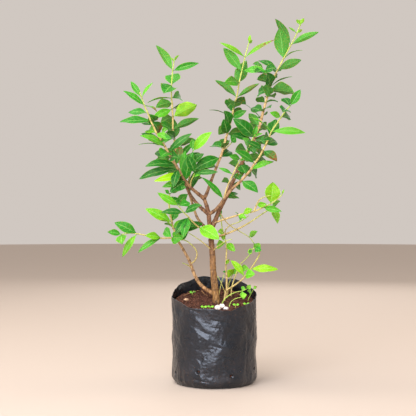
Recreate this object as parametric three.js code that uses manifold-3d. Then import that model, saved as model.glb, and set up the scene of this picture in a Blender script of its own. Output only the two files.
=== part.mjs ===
// A young henna shrub in a black polythene nursery bag of soil. Millimetres, +Z up.
// The origin is the middle of the bag's flat bottom; -Y is the plant's best side.

import * as THREE from 'three';
import { mergeVertices } from 'three/addons/utils/BufferGeometryUtils.js';
import Module from 'manifold-3d';

const wasm = await Module();
wasm.setup();

// ---- driving dimensions ----

const BAG = {
  radius: 64.5,
  wall: 1.2,
  footRadius: 57,
  footRound: 7,
  footCorner: 1.5,
  middle: 70,
  rimFront: 116,
  rimSide: 135,
  rimBack: 159,
  rimWave: 2.2,
  segments: 44,
};
const DRAIN_HOLE = { radius: 2.6, height: 19, count: 8, stagger: 6, sides: 8 };
const GAP = 0.3;
const SOIL = {
  front: 113,
  middle: 124,
  back: 140,
  mound: 3,
  rings: 5,
  segments: 40,
};
const STEM_SIDES = 5;
const LEAF = {
  thickness: 1,
  petioleWidth: 1.6,
  widestShare: 0.45,
  bow: 0.1,
  faceTilt: 40,
  sizesTried: [1, 0.85, 0.7, 0.55, 0.4],
};

const LEAF_GREEN = 0x3f7a35;
const BARK_BROWN = 0x6b4a33;
const FILM_BLACK = 0x17181a;
const SOIL_BROWN = 0x3a231a;
const STONE_PALE = 0xd9cfc4;
const STONE_TAN = 0xb08a66;
const TWIG_TAN = 0x8a6a4a;
const WEED_GREEN = 0x7fb03a;

// ---- the shrub: every shoot is a list of its nodes ----
// A node is [x, y, z] followed by its leaves, and a leaf is
// [reach x, reach y, reach z, width], from the node to the leaf's tip.

const SHOOTS = {
  trunk: { parent: null, radii: [5.6, 2.7], nodes: [
    [[4, -10, 88]],
    [[3, -10, 123]],
    [[1, -9, 143]],
    [[-2, -7, 173]],
    [[-3, -5, 196]],
    [[-5, -3, 219]],
    [[-7, -1, 237]],
    [[-9, 0, 259]],
    [[-12, 0, 271]],
    [[-16, 0, 283]],
  ] },
  left_leader: { parent: 'trunk', radii: [2.5, 0.8], nodes: [
    [[-16, 0, 283]],
    [[-24, -5, 289]],
    [[-36, -10, 299]],
    [[-44, -14, 309], [12, -16, 44, 19], [-23, -26, -17, 13]],
    [[-49, -18, 318], [-40, -20, -11, 13], [5, -8, 37, 13]],
    [[-55, -21, 327], [-60, 6, -14, 16], [-7, -16, -29, 13]],
    [[-58, -23, 332], [-48, -12, -6, 17], [7, 22, 31, 12]],
    [[-66, -27, 345], [12, -22, -2, 12], [-25, 30, 8, 11]],
    [[-70, -29, 352], [-10, -24, -8, 15], [36, -6, 28, 13]],
    [[-75, -31, 361], [-36, -16, 15, 11], [-40, 8, 3, 8]],
    [[-80, -33, 370], [-31, 14, 11, 9], [15, -26, 1, 10]],
    [[-87, -35, 380], [-12, 24, 8, 13], [19, -18, -11, 10]],
    [[-92, -37, 391], [-15, 26, 7, 12]],
    [[-96, -38, 399], [-45, -10, -3, 14], [12, 26, -16, 12]],
    [[-100, -40, 410], [-30, 12, 2, 11], [8, 30, -9, 12]],
    [[-105, -42, 421], [-31, -8, 21, 11], [20, -14, -11, 9]],
    [[-109, -43, 433], [-17, 8, 25, 10], [17, -4, 22, 5]],
    [[-112, -44, 441]],
  ] },
  left_mid_leader: { parent: 'trunk', radii: [2.6, 0.8], nodes: [
    [[-9, 0, 259]],
    [[-18, 7, 266]],
    [[-33, 14, 282]],
    [[-43, 20, 300]],
    [[-47, 23, 312], [-10, -34, 15, 12]],
    [[-51, 27, 327], [-22, 32, -2, 13]],
    [[-52, 28, 334], [29, 20, 21, 14]],
    [[-56, 30, 344], [26, -20, 27, 9], [-4, 30, 19, 12]],
    [[-61, 31, 363], [33, 24, 12, 12], [-15, 30, -18, 13]],
    [[-63, 32, 377], [-3, 20, 34, 19], [-12, -30, 8, 10]],
    [[-65, 31, 387], [-21, -22, 11, 13]],
    [[-65, 31, 391], [41, -12, 16, 13], [-36, -14, 1, 9]],
    [[-65, 30, 411], [38, -8, 18, 24], [-20, 28, -6, 13]],
    [[-66, 29, 423], [-30, -18, -17, 13], [15, 34, 1, 11]],
    [[-66, 28, 432], [-27, 22, -4, 12]],
    [[-67, 27, 440], [-37, -14, -9, 11], [13, 34, 2, 12]],
    [[-67, 25, 459], [3, 30, 23, 17], [-10, -30, -15, 18]],
    [[-65, 23, 482], [-26, -6, 39, 15], [41, -8, 11, 12]],
    [[-63, 22, 496], [-4, -3, 6, 3], [8, 3, 11, 4]],
  ] },
  left_inner_branch: { parent: 'trunk', radii: [2.2, 0.8], nodes: [
    [[-7, -1, 234]],
    [[-17, 6, 241]],
    [[-27, 14, 254]],
    [[-34, 24, 274]],
    [[-40, 34, 291], [25, -20, 42, 13], [-20, 24, -17, 12]],
    [[-46, 42, 304], [-36, -8, -3, 13], [27, 28, 12, 12]],
    [[-56, 52, 321], [-20, 30, -8, 13], [27, 8, 13, 13]],
    [[-66, 61, 340], [-31, 10, 3, 14], [26, 24, 10, 14]],
    [[-74, 66, 355], [-17, 30, -7, 13], [20, -14, 9, 13]],
    [[-81, 71, 371], [-26, 14, 8, 13], [18, 20, 17, 13]],
    [[-86, 75, 387], [-8, 6, 18, 8], [14, 10, 15, 8]],
  ] },
  centre_leader: { parent: 'trunk', radii: [2.4, 0.8], nodes: [
    [[-16, 0, 283]],
    [[-12, 2, 290]],
    [[-5, 8, 310]],
    [[0, 11, 323], [-28, -22, -5, 10]],
    [[3, 12, 331], [-19, 22, 4, 14]],
    [[9, 15, 346], [-41, -18, -20, 19], [15, 28, 12, 12]],
    [[14, 17, 361], [8, -26, 8, 11], [-19, 26, 4, 12]],
    [[18, 19, 377], [-6, 18, -16, 12]],
    [[20, 20, 383], [-6, -26, 21, 12], [31, 22, 6, 12]],
    [[23, 21, 395], [-8, -16, 23, 15], [-16, 24, -11, 12]],
    [[27, 23, 408], [-35, -10, 12, 8], [23, -12, 11, 11]],
    [[30, 24, 422], [0, -32, 9, 15], [13, 26, -9, 12]],
    [[33, 25, 436], [-12, 24, -8, 14], [17, 30, -3, 12]],
    [[35, 26, 441], [-34, 4, 27, 11], [35, -6, 21, 9]],
    [[39, 27, 464], [-23, -30, -3, 12], [12, 14, 37, 19], [-5, 24, 25, 10]],
    [[43, 27, 482], [-29, -10, 35, 17], [40, -14, -5, 13]],
    [[48, 28, 504], [-40, -14, 21, 8], [45, -12, 25, 8]],
    [[54, 27, 526], [2, -5, 12, 5], [6, 4, 5, 5]],
  ] },
  right_leader: { parent: 'trunk', radii: [3.4, 0.8], nodes: [
    [[-6, -1, 234]],
    [[0, 2, 246]],
    [[7, 7, 263]],
    [[18, 13, 285], [19, 14, 5, 7], [21, 12, -2, 7]],
    [[27, 18, 305], [-15, 26, 4, 11], [14, 16, -8, 10]],
    [[38, 24, 329], [-15, 30, 10, 13], [21, 28, -8, 12]],
    [[46, 27, 344], [28, 24, 2, 14], [-4, 10, -28, 12]],
    [[52, 29, 355], [-18, 26, 6, 13], [-2, -30, 16, 11]],
    [[61, 32, 372], [-37, -16, 9, 12], [8, 30, -15, 13]],
    [[63, 33, 378], [-34, -16, 29, 22], [21, 26, -10, 13]],
    [[68, 34, 387], [14, -24, 1, 10], [-12, 24, 16, 13]],
    [[71, 35, 396], [-17, -6, 20, 14], [13, 22, -3, 13]],
    [[74, 36, 408], [-30, -8, 25, 7], [9, 28, 9, 13]],
    [[77, 37, 420], [10, -30, 3, 16], [-17, 26, 8, 13]],
    [[81, 38, 434], [-16, -20, 5, 9], [18, -18, -1, 9]],
    [[83, 38, 442], [1, -30, 17, 12], [14, 26, 3, 13]],
    [[86, 39, 453], [39, -14, -6, 18], [-15, 30, -3, 13]],
    [[88, 39, 459], [34, -8, 15, 7], [-7, -28, 19, 14]],
    [[90, 39, 466], [-22, 14, 7, 15], [11, 26, 11, 12]],
    [[97, 40, 480], [2, 30, 11, 12]],
    [[100, 40, 486], [37, -6, 15, 15], [-30, 10, 16, 12]],
    [[109, 39, 503], [-7, -12, 47, 25], [29, -10, 12, 9]],
    [[121, 38, 525], [-26, -12, 39, 12], [43, -8, 19, 11]],
    [[130, 37, 543], [-13, -3, 9, 3], [8, -6, 5, 4]],
    [[135, 36, 556], [6, -4, 10, 6], [-6, -4, 8, 5], [4, 10, 8, 7]],
  ] },
  right_outer_leader: { parent: 'trunk', radii: [2.4, 0.8], nodes: [
    [[-8, 0, 259]],
    [[-1, -3, 263]],
    [[7, -6, 271]],
    [[14, -10, 281], [-33, -16, 33, 10]],
    [[27, -18, 297]],
    [[40, -26, 309], [25, -14, -18, 16], [-10, 24, 8, 10]],
    [[48, -30, 318], [-8, 22, 15, 12]],
    [[54, -34, 325], [34, -14, 12, 9], [10, 20, -8, 12]],
    [[60, -38, 335], [-30, -14, 18, 13], [18, 18, 5, 14]],
    [[66, -42, 343], [8, 22, 12, 12]],
    [[72, -46, 354], [20, -14, -17, 14], [-25, -12, 12, 9]],
    [[76, -49, 362], [-13, 20, 9, 12], [17, 22, 7, 11]],
    [[81, -53, 373], [12, 20, 28, 17], [-10, -22, -5, 10]],
    [[84, -55, 381], [50, -6, -2, 12], [-35, -10, 21, 10]],
    [[98, -60, 402], [-17, -12, 6, 9], [15, 24, 2, 10]],
    [[106, -62, 413], [-8, -24, -5, 13]],
    [[111, -64, 418], [15, -4, 24, 14], [-8, 18, 14, 12]],
  ] },
  right_inner_shoot: { parent: 'right_outer_leader', radii: [1.2, 0.7], nodes: [
    [[14, -10, 281]],
    [[16, -13, 289]],
    [[21, -15, 304]],
    [[28, -17, 319], [-22, -4, 10, 6], [11, 14, -8, 8]],
    [[35, -19, 334]],
    [[40, -19, 342], [-18, -14, 4, 9], [14, -18, -2, 10]],
    [[52, -18, 360], [8, -18, -11, 10], [-10, -14, 13, 10]],
    [[59, -12, 376], [6, -4, 18, 8], [14, -6, 5, 6]],
  ] },
  left_basal_shoot: { parent: 'trunk', radii: [2.9, 1], nodes: [
    [[1, -9, 136]],
    [[-9, -5, 141]],
    [[-18, -1, 147]],
    [[-26, 3, 156]],
    [[-33, 6, 171]],
    [[-39, 6, 187]],
    [[-48, 4, 204]],
    [[-56, 0, 218], [18, -20, 22, 15], [-8, -18, -2, 9]],
    [[-60, -5, 230], [43, 12, 14, 15], [-18, 24, 13, 11]],
    [[-63, -7, 237], [-24, -22, 14, 12], [17, -16, 14, 8]],
    [[-65, -10, 246], [-40, -8, 21, 16], [6, 20, 15, 10]],
    [[-68, -14, 262]],
    [[-69, -18, 274], [-9, 10, 13, 9], [15, 14, 7, 13]],
    [[-68, -24, 289], [-7, -6, 6, 5], [26, -8, 10, 11]],
  ] },
  left_low_twig: { parent: 'left_basal_shoot', radii: [1.3, 0.8], nodes: [
    [[-56, 0, 218]],
    [[-65, -5, 222], [18, -26, 1, 13], [-12, 20, 14, 11]],
    [[-81, -12, 222], [-24, -16, 4, 9], [-35, -6, -22, 10]],
    [[-98, -18, 225]],
    [[-117, -22, 229], [-34, -6, 17, 17], [-22, -6, -35, 11]],
    [[-129, -26, 230]],
    [[-140, -28, 228], [-21, -8, 4, 10], [2, -22, -14, 12]],
  ] },
  left_fan_twig: { parent: 'trunk', radii: [1.3, 0.8], nodes: [
    [[-7, -1, 236]],
    [[-15, -10, 236]],
    [[-24, -18, 239], [31, -22, -18, 19], [-29, 14, 8, 13]],
    [[-33, -26, 247]],
    [[-39, -30, 254], [-8, -16, -31, 14], [-20, -14, -25, 13]],
    [[-46, -35, 261], [-34, -8, 0, 12], [27, -16, 11, 12]],
    [[-54, -42, 271], [-31, -12, 20, 12], [17, 12, 5, 11]],
  ] },
  left_knot_twig: { parent: 'left_leader', radii: [1.1, 0.7], nodes: [
    [[-37, -10, 300]],
    [[-36, -18, 308]],
    [[-33, -26, 314], [20, -8, 7, 5]],
    [[-30, -30, 320], [35, -8, 2, 9], [-11, -12, 27, 14]],
  ] },
  left_back_twig: { parent: 'left_mid_leader', radii: [1, 0.7], nodes: [
    [[-43, 20, 300]],
    [[-38, 12, 319]],
    [[-35, 3, 336], [19, -8, 15, 13], [-17, -14, 10, 12]],
    [[-33, -6, 355], [29, -6, 29, 17], [-1, 14, 19, 8]],
  ] },
  left_loop_twig: { parent: 'left_basal_shoot', radii: [1, 0.7], nodes: [
    [[-37, 6, 182]],
    [[-31, 2, 186]],
    [[-27, -3, 194]],
    [[-28, -8, 203]],
    [[-34, -12, 211]],
    [[-43, -14, 218]],
    [[-51, -15, 220]],
  ] },
  left_bare_twig: { parent: 'left_basal_shoot', radii: [0.8, 0.5], nodes: [
    [[-35, 6, 176]],
    [[-41, 0, 180]],
    [[-49, -8, 184]],
  ] },
  trunk_left_twig: { parent: 'trunk', radii: [0.9, 0.5], nodes: [
    [[-4, -4, 203]],
    [[-11, -12, 210]],
    [[-22, -20, 219]],
    [[-32, -28, 226]],
    [[-40, -34, 231]],
  ] },
  trunk_right_twig: { parent: 'trunk', radii: [0.9, 0.5], nodes: [
    [[-3, -4, 201]],
    [[2, -12, 207]],
    [[10, -20, 213]],
    [[17, -26, 218]],
    [[26, -30, 221]],
  ] },
  centre_side_shoot: { parent: 'centre_leader', radii: [0.9, 0.6], nodes: [
    [[13, 17, 358]],
    [[17, 12, 360]],
    [[21, 6, 363]],
    [[26, 0, 368], [7, -6, 8, 9], [3, 8, 15, 7]],
  ] },
  right_top_shoot: { parent: 'right_leader', radii: [1, 0.6], nodes: [
    [[92, 39, 470]],
    [[85, 30, 474]],
    [[78, 22, 482], [17, -20, 2, 11], [-15, -18, -5, 12]],
    [[71, 16, 488], [-2, 20, 11, 12]],
  ] },
  right_low_branch: { parent: 'trunk', radii: [1.8, 0.8], nodes: [
    [[-5, -3, 220]],
    [[5, 2, 224]],
    [[18, 5, 228]],
    [[35, 10, 235]],
    [[54, 17, 245]],
    [[75, 24, 259]],
    [[90, 28, 268], [8, -14, -24, 12], [14, 8, 11, 9]],
  ] },
  right_high_branch: { parent: 'right_leader', radii: [1.5, 0.8], nodes: [
    [[0, 2, 245]],
    [[5, -6, 247]],
    [[16, -14, 251]],
    [[35, -20, 257], [13, -6, -5, 8]],
    [[42, -22, 259], [15, -8, 7, 9]],
    [[60, -27, 263]],
    [[73, -30, 269], [27, -14, -6, 10]],
    [[84, -33, 274], [4, 0, 33, 26]],
    [[94, -35, 281]],
    [[101, -37, 288], [3, -2, 8, 3]],
  ] },
  right_upright_twig: { parent: 'right_high_branch', radii: [1, 0.6], nodes: [
    [[60, -27, 263]],
    [[63, -30, 272], [15, -10, 2, 8]],
    [[68, -36, 281]],
    [[76, -40, 285]],
    [[84, -43, 287]],
  ] },
  right_arching_twig: { parent: 'right_leader', radii: [0.9, 0.6], nodes: [
    [[7, 7, 264]],
    [[14, 16, 252]],
    [[24, 26, 241]],
    [[37, 34, 233]],
    [[55, 42, 222], [14, 12, 9, 9]],
    [[62, 46, 213], [11, 6, -12, 12]],
  ] },
  thin_shoot: { parent: null, radii: [1.6, 0.8], nodes: [
    [[20, 14, 104]],
    [[19, 14, 125]],
    [[19, 14, 141]],
    [[19, 15, 162]],
    [[18, 15, 169], [-5, -3, 0, 3]],
    [[18, 16, 180], [5, -6, 9, 5]],
    [[19, 17, 203]],
    [[18, 17, 214], [14, -10, -13, 11], [-14, 18, -7, 10]],
    [[14, 20, 230], [-9, -14, 1, 7], [0, -12, -12, 6]],
    [[12, 20, 238]],
    [[10, 22, 254], [-7, 14, 12, 8]],
  ] },
  green_twig: { parent: 'thin_shoot', radii: [0.8, 0.6], nodes: [
    [[16, 18, 224]],
    [[18, 13, 235]],
    [[26, 8, 242]],
    [[39, 0, 247], [-6, 18, 14, 9]],
    [[52, -8, 256]],
  ] },
  hooked_shoot: { parent: null, radii: [1.5, 0.7], nodes: [
    [[14, 2, 104]],
    [[15, 2, 122]],
    [[18, 2, 140]],
    [[26, -1, 146]],
    [[38, -6, 155]],
    [[46, -11, 163], [15, -12, 5, 11], [-21, 4, 25, 11]],
    [[55, -15, 175], [41, -10, 0, 13], [-14, 20, -4, 9]],
    [[63, -20, 188]],
    [[68, -23, 198]],
    [[66, -24, 204]],
    [[61, -25, 207], [9, -14, -3, 8]],
    [[56, -26, 205], [-4, -3, -5, 5]],
  ] },
  back_right_shoot: { parent: null, radii: [1.1, 0.6], nodes: [
    [[25, 22, 112]],
    [[26, 22, 128]],
    [[27, 22, 143]],
    [[31, 22, 157]],
    [[37, 25, 172], [14, 16, 0, 9]],
    [[41, 26, 180]],
    [[49, 28, 188]],
    [[55, 28, 194], [2, 6, 11, 7]],
  ] },
  right_sprig: { parent: null, radii: [0.9, 0.6], nodes: [
    [[20, 34, 116]],
    [[21, 34, 130]],
    [[22, 34, 144]],
    [[25, 32, 155]],
    [[28, 30, 163], [-8, -14, 8, 11], [8, 12, 8, 8]],
  ] },
  leaning_dry_twig: { parent: null, radii: [0.9, 0.5], nodes: [
    [[6, 6, 108]],
    [[6, 6, 126]],
    [[9, 6, 144]],
    [[12, 8, 156]],
    [[15, 10, 165]],
  ] },
  back_dry_twig: { parent: null, radii: [0.8, 0.5], nodes: [
    [[17, 28, 112]],
    [[18, 28, 130]],
    [[14, 28, 143]],
    [[9, 30, 154]],
    [[5, 32, 161]],
  ] },
};

// Small wild plants that came up in the same bag, written like the shoots.
const WEEDS = {
  weed_sprig: { parent: null, radii: [0.8, 0.6], nodes: [
    [[10, -18, 104]],
    [[12, -18, 124]],
    [[21, -14, 134]],
    [[32, -10, 139]],
    [[42, -8, 141], [3, 3, 7, 7], [2, -6, -12, 10]],
    [[49, -9, 144], [6, -2, 7, 8]],
  ] },
  weed_runner: { parent: null, radii: [0.7, 0.5], nodes: [
    [[22, -28, 100]],
    [[23, -28, 122]],
    [[30, -26, 130]],
    [[40, -24, 133], [8, -4, 5, 6]],
  ] },
  rim_weed: { parent: null, radii: [0.7, 0.5], nodes: [
    [[50, 4, 108]],
    [[52, 3, 126]],
    [[57, 0, 137], [-6, -6, 5, 5]],
    [[60, -3, 144], [5, -3, 4, 5]],
  ] },
};

const SEEDLING = { rootDepth: 8, height: 4, spread: 5, width: 3.5, radius: 0.5 };
const SEEDLING_PLACES = [[-7, -45], [-17, -46], [-35, 30], [31, -38], [47, -28]];

// Loose things on the soil: place, half sizes and turn about Z in degrees.
const STONES = {
  pale_lump_large: { at: [5, -43.5], half: [5.2, 4, 3.8], turn: 20, color: STONE_PALE },
  pale_lump_middle: { at: [11.5, -35.5], half: [4.2, 3.6, 4.2], turn: 10, color: STONE_PALE },
  pale_lump_small: { at: [17, -43.5], half: [3.8, 3, 2.8], turn: -15, color: STONE_PALE },
  tan_pebble: { at: [-43.5, 6], half: [3.8, 2.8, 2.4], turn: 10, color: STONE_TAN },
};
const FALLEN_TWIGS = {
  fallen_twig_left: [[-47, 24], [-36, 38], [-25, 50]],
  fallen_twig_middle: [[-20, 46], [-15, 31], [-10, 16]],
  fallen_twig_back: [[24, 46], [33, 36], [42, 24]],
};
const FALLEN_TWIG_RADIUS = 0.9;

// ---- solids ----

function solidFrom(geometry) {
  const bare = geometry.clone();
  bare.deleteAttribute('normal');
  bare.deleteAttribute('uv');
  const merged = mergeVertices(bare, 1e-4);
  return new wasm.Manifold(new wasm.Mesh({
    numProp: 3,
    vertProperties: new Float32Array(merged.attributes.position.array),
    triVerts: new Uint32Array(merged.index.array),
  }));
}

function geometryFrom(solid) {
  const mesh = solid.getMesh();
  const geometry = new THREE.BufferGeometry();
  geometry.setAttribute('position', new THREE.BufferAttribute(mesh.vertProperties, 3));
  geometry.setIndex(new THREE.BufferAttribute(mesh.triVerts, 1));
  geometry.computeVertexNormals();
  return geometry;
}

// Joins rings of equal point counts into one closed solid, with flat ends.
function loftSolid(rings) {
  const sides = rings[0].length;
  const index = [];
  for (let r = 0; r < rings.length - 1; r += 1) {
    for (let s = 0; s < sides; s += 1) {
      const a = r * sides + s;
      const b = r * sides + (s + 1) % sides;
      index.push(a, b, b + sides, a, b + sides, a + sides);
    }
  }
  const last = (rings.length - 1) * sides;
  for (let s = 1; s < sides - 1; s += 1) {
    index.push(0, s + 1, s);
    index.push(last, last + s, last + s + 1);
  }
  const geometry = new THREE.BufferGeometry().setFromPoints(rings.flat());
  geometry.setIndex(index);
  return solidFrom(geometry);
}

const toVector = ([x, y, z]) => new THREE.Vector3(x, y, z);

function directionAt(points, i) {
  const before = points[Math.max(0, i - 1)];
  const after = points[Math.min(points.length - 1, i + 1)];
  return after.clone().sub(before).normalize();
}

// A round stem with a ring at each point, tapering from one radius to the other.
function stemSolid(points, [startRadius, endRadius], extra = 0) {
  const across = new THREE.Vector3(1, 0.3, 0.1);
  const rings = points.map((centre, i) => {
    const along = directionAt(points, i);
    across.addScaledVector(along, -across.dot(along)).normalize();
    const up = new THREE.Vector3().crossVectors(along, across);
    const share = i / (points.length - 1);
    const radius = THREE.MathUtils.lerp(startRadius, endRadius, share) + extra;
    return Array.from({ length: STEM_SIDES }, (_, s) => {
      const angle = (s / STEM_SIDES) * 2 * Math.PI;
      return centre.clone()
        .addScaledVector(across, radius * Math.cos(angle))
        .addScaledVector(up, radius * Math.sin(angle));
    });
  });
  return loftSolid(rings);
}

// The way a blade faces: up and to the plant's best side, and towards the shoot's tip.
function bladeNormal(along, shootDirection) {
  const tilt = THREE.MathUtils.degToRad(LEAF.faceTilt);
  const facing = new THREE.Vector3(0, -Math.cos(tilt), Math.sin(tilt));
  facing.addScaledVector(shootDirection, 0.5);
  return facing.addScaledVector(along, -facing.dot(along)).normalize();
}

// A pointed oval blade, bowed up, with a flat underside and a low ridge on top.
function leafSolid(base, reach, width, shootDirection) {
  const length = reach.length();
  const along = reach.clone().normalize();
  const normal = bladeNormal(along, shootDirection);
  const side = new THREE.Vector3().crossVectors(normal, along);
  const stations = [
    [0, LEAF.petioleWidth],
    [LEAF.widestShare, width],
    [1, LEAF.petioleWidth * 0.5],
  ];
  const rings = stations.map(([share, across]) => {
    const bow = LEAF.bow * length * 4 * share * (1 - share);
    const centre = base.clone()
      .addScaledVector(along, share * length)
      .addScaledVector(normal, bow);
    return [[across / 2, 0], [0, LEAF.thickness], [-across / 2, 0]].map(
      ([offset, lift]) => centre.clone()
        .addScaledVector(side, offset)
        .addScaledVector(normal, lift),
    );
  });
  return loftSolid(rings);
}

function shareAVolume(a, b) {
  const boxA = a.boundingBox();
  const boxB = b.boundingBox();
  for (let axis = 0; axis < 3; axis += 1) {
    if (boxA.min[axis] > boxB.max[axis] || boxB.min[axis] > boxA.max[axis]) {
      return false;
    }
  }
  return !a.intersect(b).isEmpty();
}

// ---- the bag ----

function byAngle(angle, front, side, back) {
  const backness = Math.sin(angle);
  const edge = backness > 0 ? back : front;
  return side + (edge - side) * Math.abs(backness) ** 1.4;
}

function rimHeight(angle) {
  const wave = BAG.rimWave * Math.sin(5 * angle + 1) * Math.cos(2 * angle);
  return byAngle(angle, BAG.rimFront, BAG.rimSide, BAG.rimBack) + wave;
}

function soilHeight(x, y) {
  const reach = Math.min(1, Math.hypot(x, y) / BAG.radius);
  const edge = y > 0 ? SOIL.back : SOIL.front;
  const slope = SOIL.middle + (edge - SOIL.middle) * Math.abs(y) / BAG.radius;
  const clods = 1.1 * Math.sin(0.21 * x + 1) * Math.cos(0.17 * y);
  return slope + SOIL.mound * (1 - reach) ** 2 + clods;
}

// Turns a profile of [radius, height] about Z; a height of TOP is replaced by topHeight(x, y).
const TOP = 1000;
function turnedGeometry(profile, segments, topHeight) {
  const points = profile.map(([radius, height]) => new THREE.Vector2(radius, height));
  const geometry = new THREE.LatheGeometry(points, segments);
  const position = geometry.attributes.position;
  for (let i = 0; i < position.count; i += 1) {
    const x = position.getX(i);
    const y = -position.getZ(i);
    const height = position.getY(i);
    position.setXYZ(i, x, y, height === TOP ? topHeight(x, y) : height);
  }
  return geometry;
}

// The outside of the bag, from the middle of its bottom up to the rim.
function bagOutline(inset) {
  const radius = BAG.radius - inset;
  return [
    [0, inset],
    [BAG.footRadius - inset, inset],
    [radius - BAG.footCorner, BAG.footRound * 0.55 + inset],
    [radius, BAG.footRound * 1.6],
  ];
}

function bagSolid() {
  const { radius, wall, segments } = BAG;
  const inside = [...bagOutline(wall), [radius - wall, BAG.middle], [radius - wall, TOP]];
  const outside = [...bagOutline(0), [radius, BAG.middle], [radius, TOP]];
  const profile = [...outside, ...inside.reverse()];
  const geometry = turnedGeometry(profile, segments, (x, y) => rimHeight(Math.atan2(y, x)));
  let solid = solidFrom(geometry);
  for (let i = 0; i < DRAIN_HOLE.count; i += 1) {
    const angle = ((i + 0.5) / DRAIN_HOLE.count) * 2 * Math.PI;
    const hole = new THREE.CylinderGeometry(DRAIN_HOLE.radius, DRAIN_HOLE.radius, 12, DRAIN_HOLE.sides);
    hole.rotateZ(Math.PI / 2);
    hole.translate(radius, 0, 0);
    hole.rotateZ(angle);
    hole.translate(0, 0, DRAIN_HOLE.height + (i % 2) * DRAIN_HOLE.stagger);
    solid = solid.subtract(solidFrom(hole));
  }
  return solid;
}

function soilSolid() {
  const profile = bagOutline(BAG.wall + GAP);
  const edge = BAG.radius - BAG.wall - GAP;
  for (let ring = SOIL.rings; ring >= 0; ring -= 1) {
    profile.push([edge * ring / SOIL.rings, TOP]);
  }
  return solidFrom(turnedGeometry(profile, SOIL.segments, soilHeight));
}

// ---- loose things on the soil ----

function stoneSolid({ at: [x, y], half, turn }, extra) {
  const geometry = new THREE.IcosahedronGeometry(1, 1);
  geometry.scale(half[0] + extra, half[1] + extra, half[2] + extra);
  geometry.rotateZ(THREE.MathUtils.degToRad(turn));
  geometry.translate(x, y, soilHeight(x, y) + half[2] * 0.45);
  return solidFrom(geometry);
}

function fallenTwigSolid(route, extra) {
  const points = route.map(([x, y]) => (
    new THREE.Vector3(x, y, soilHeight(x, y) + FALLEN_TWIG_RADIUS * 0.6)
  ));
  return stemSolid(points, [FALLEN_TWIG_RADIUS, FALLEN_TWIG_RADIUS * 0.7], extra);
}

function seedling([x, y]) {
  const ground = soilHeight(x, y);
  const top = ground + SEEDLING.height;
  return {
    parent: null,
    radii: [SEEDLING.radius, SEEDLING.radius * 0.8],
    nodes: [
      [[x, y, ground - SEEDLING.rootDepth]],
      [[x, y, ground]],
      [
        [x + 1, y - 1, top],
        [SEEDLING.spread, -1, 1, SEEDLING.width],
        [-SEEDLING.spread, -1, 1, SEEDLING.width],
      ],
    ],
  };
}

// ---- assembly ----

const plant = new THREE.Group();
const placed = new Map();

function material(color, roughness) {
  return new THREE.MeshStandardMaterial({ color, roughness, metalness: 0 });
}

function addNode(name, solid, color, roughness) {
  const mesh = new THREE.Mesh(geometryFrom(solid), material(color, roughness));
  mesh.name = name;
  plant.add(mesh);
  placed.set(name, solid);
}

// A leaf is drawn smaller where its full length would run into another piece.
function fittingLeaf(base, reach, width, direction, others) {
  for (const size of LEAF.sizesTried) {
    const leaf = leafSolid(base, reach.clone().multiplyScalar(size), width * size, direction);
    if (!others.some((other) => shareAVolume(leaf, other))) {
      return leaf;
    }
  }
  return null;
}

function addShoot(name, shoot, stems, color) {
  const points = shoot.nodes.map(([at]) => toVector(at));
  const others = [...placed.values(), ...stems.filter((stem) => stem.name !== name)
    .map((stem) => stem.clearance)];
  let solid = stems.find((stem) => stem.name === name).solid;
  shoot.nodes.forEach(([, ...leaves], i) => {
    for (const [x, y, z, width] of leaves) {
      const direction = directionAt(points, i);
      const reach = new THREE.Vector3(x, y, z);
      const leaf = fittingLeaf(points[i], reach, width, direction, others);
      if (leaf) {
        solid = solid.add(leaf);
      }
    }
  });
  addNode(name, solid, color, 0.5);
}

function largestPiece(solid) {
  return solid.decompose().reduce((a, b) => (a.volume() > b.volume() ? a : b));
}

// Every bare stem is made first, cut clear of the stems before it that it grows from.
function bareStems(shoots) {
  const stems = [];
  for (const [name, shoot] of Object.entries(shoots)) {
    const points = shoot.nodes.map(([at]) => toVector(at));
    let solid = stemSolid(points, shoot.radii);
    for (const earlier of stems) {
      if (shareAVolume(solid, earlier.clearance)) {
        solid = largestPiece(solid.subtract(earlier.clearance));
      }
    }
    stems.push({ name, solid, clearance: stemSolid(points, shoot.radii, GAP) });
  }
  return stems;
}

const seedlings = Object.fromEntries(
  SEEDLING_PLACES.map((place, i) => [`seedling_${i + 1}`, seedling(place)]),
);
const growing = { ...SHOOTS, ...WEEDS, ...seedlings };
const stems = bareStems(growing);
const rooted = stems.filter(({ name }) => growing[name].parent === null);

addNode('grow_bag', bagSolid(), FILM_BLACK, 0.45);

let soil = soilSolid();
for (const { clearance } of rooted) {
  soil = soil.subtract(clearance);
}
for (const stone of Object.values(STONES)) {
  soil = soil.subtract(stoneSolid(stone, GAP));
}
for (const route of Object.values(FALLEN_TWIGS)) {
  soil = soil.subtract(fallenTwigSolid(route, GAP));
}
addNode('soil', soil, SOIL_BROWN, 0.95);

for (const [name, stone] of Object.entries(STONES)) {
  addNode(name, stoneSolid(stone, 0), stone.color, 0.85);
}
for (const [name, route] of Object.entries(FALLEN_TWIGS)) {
  addNode(name, fallenTwigSolid(route, 0), TWIG_TAN, 0.85);
}
for (const [name, shoot] of Object.entries(growing)) {
  const color = name in SHOOTS ? LEAF_GREEN : WEED_GREEN;
  addShoot(name, shoot, stems, name === 'trunk' ? BARK_BROWN : color);
}

export default plant;
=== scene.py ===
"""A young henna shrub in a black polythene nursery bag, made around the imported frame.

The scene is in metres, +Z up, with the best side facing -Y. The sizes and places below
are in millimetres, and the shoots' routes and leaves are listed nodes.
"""

import math
import random

import bpy
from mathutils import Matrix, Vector, noise


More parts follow.
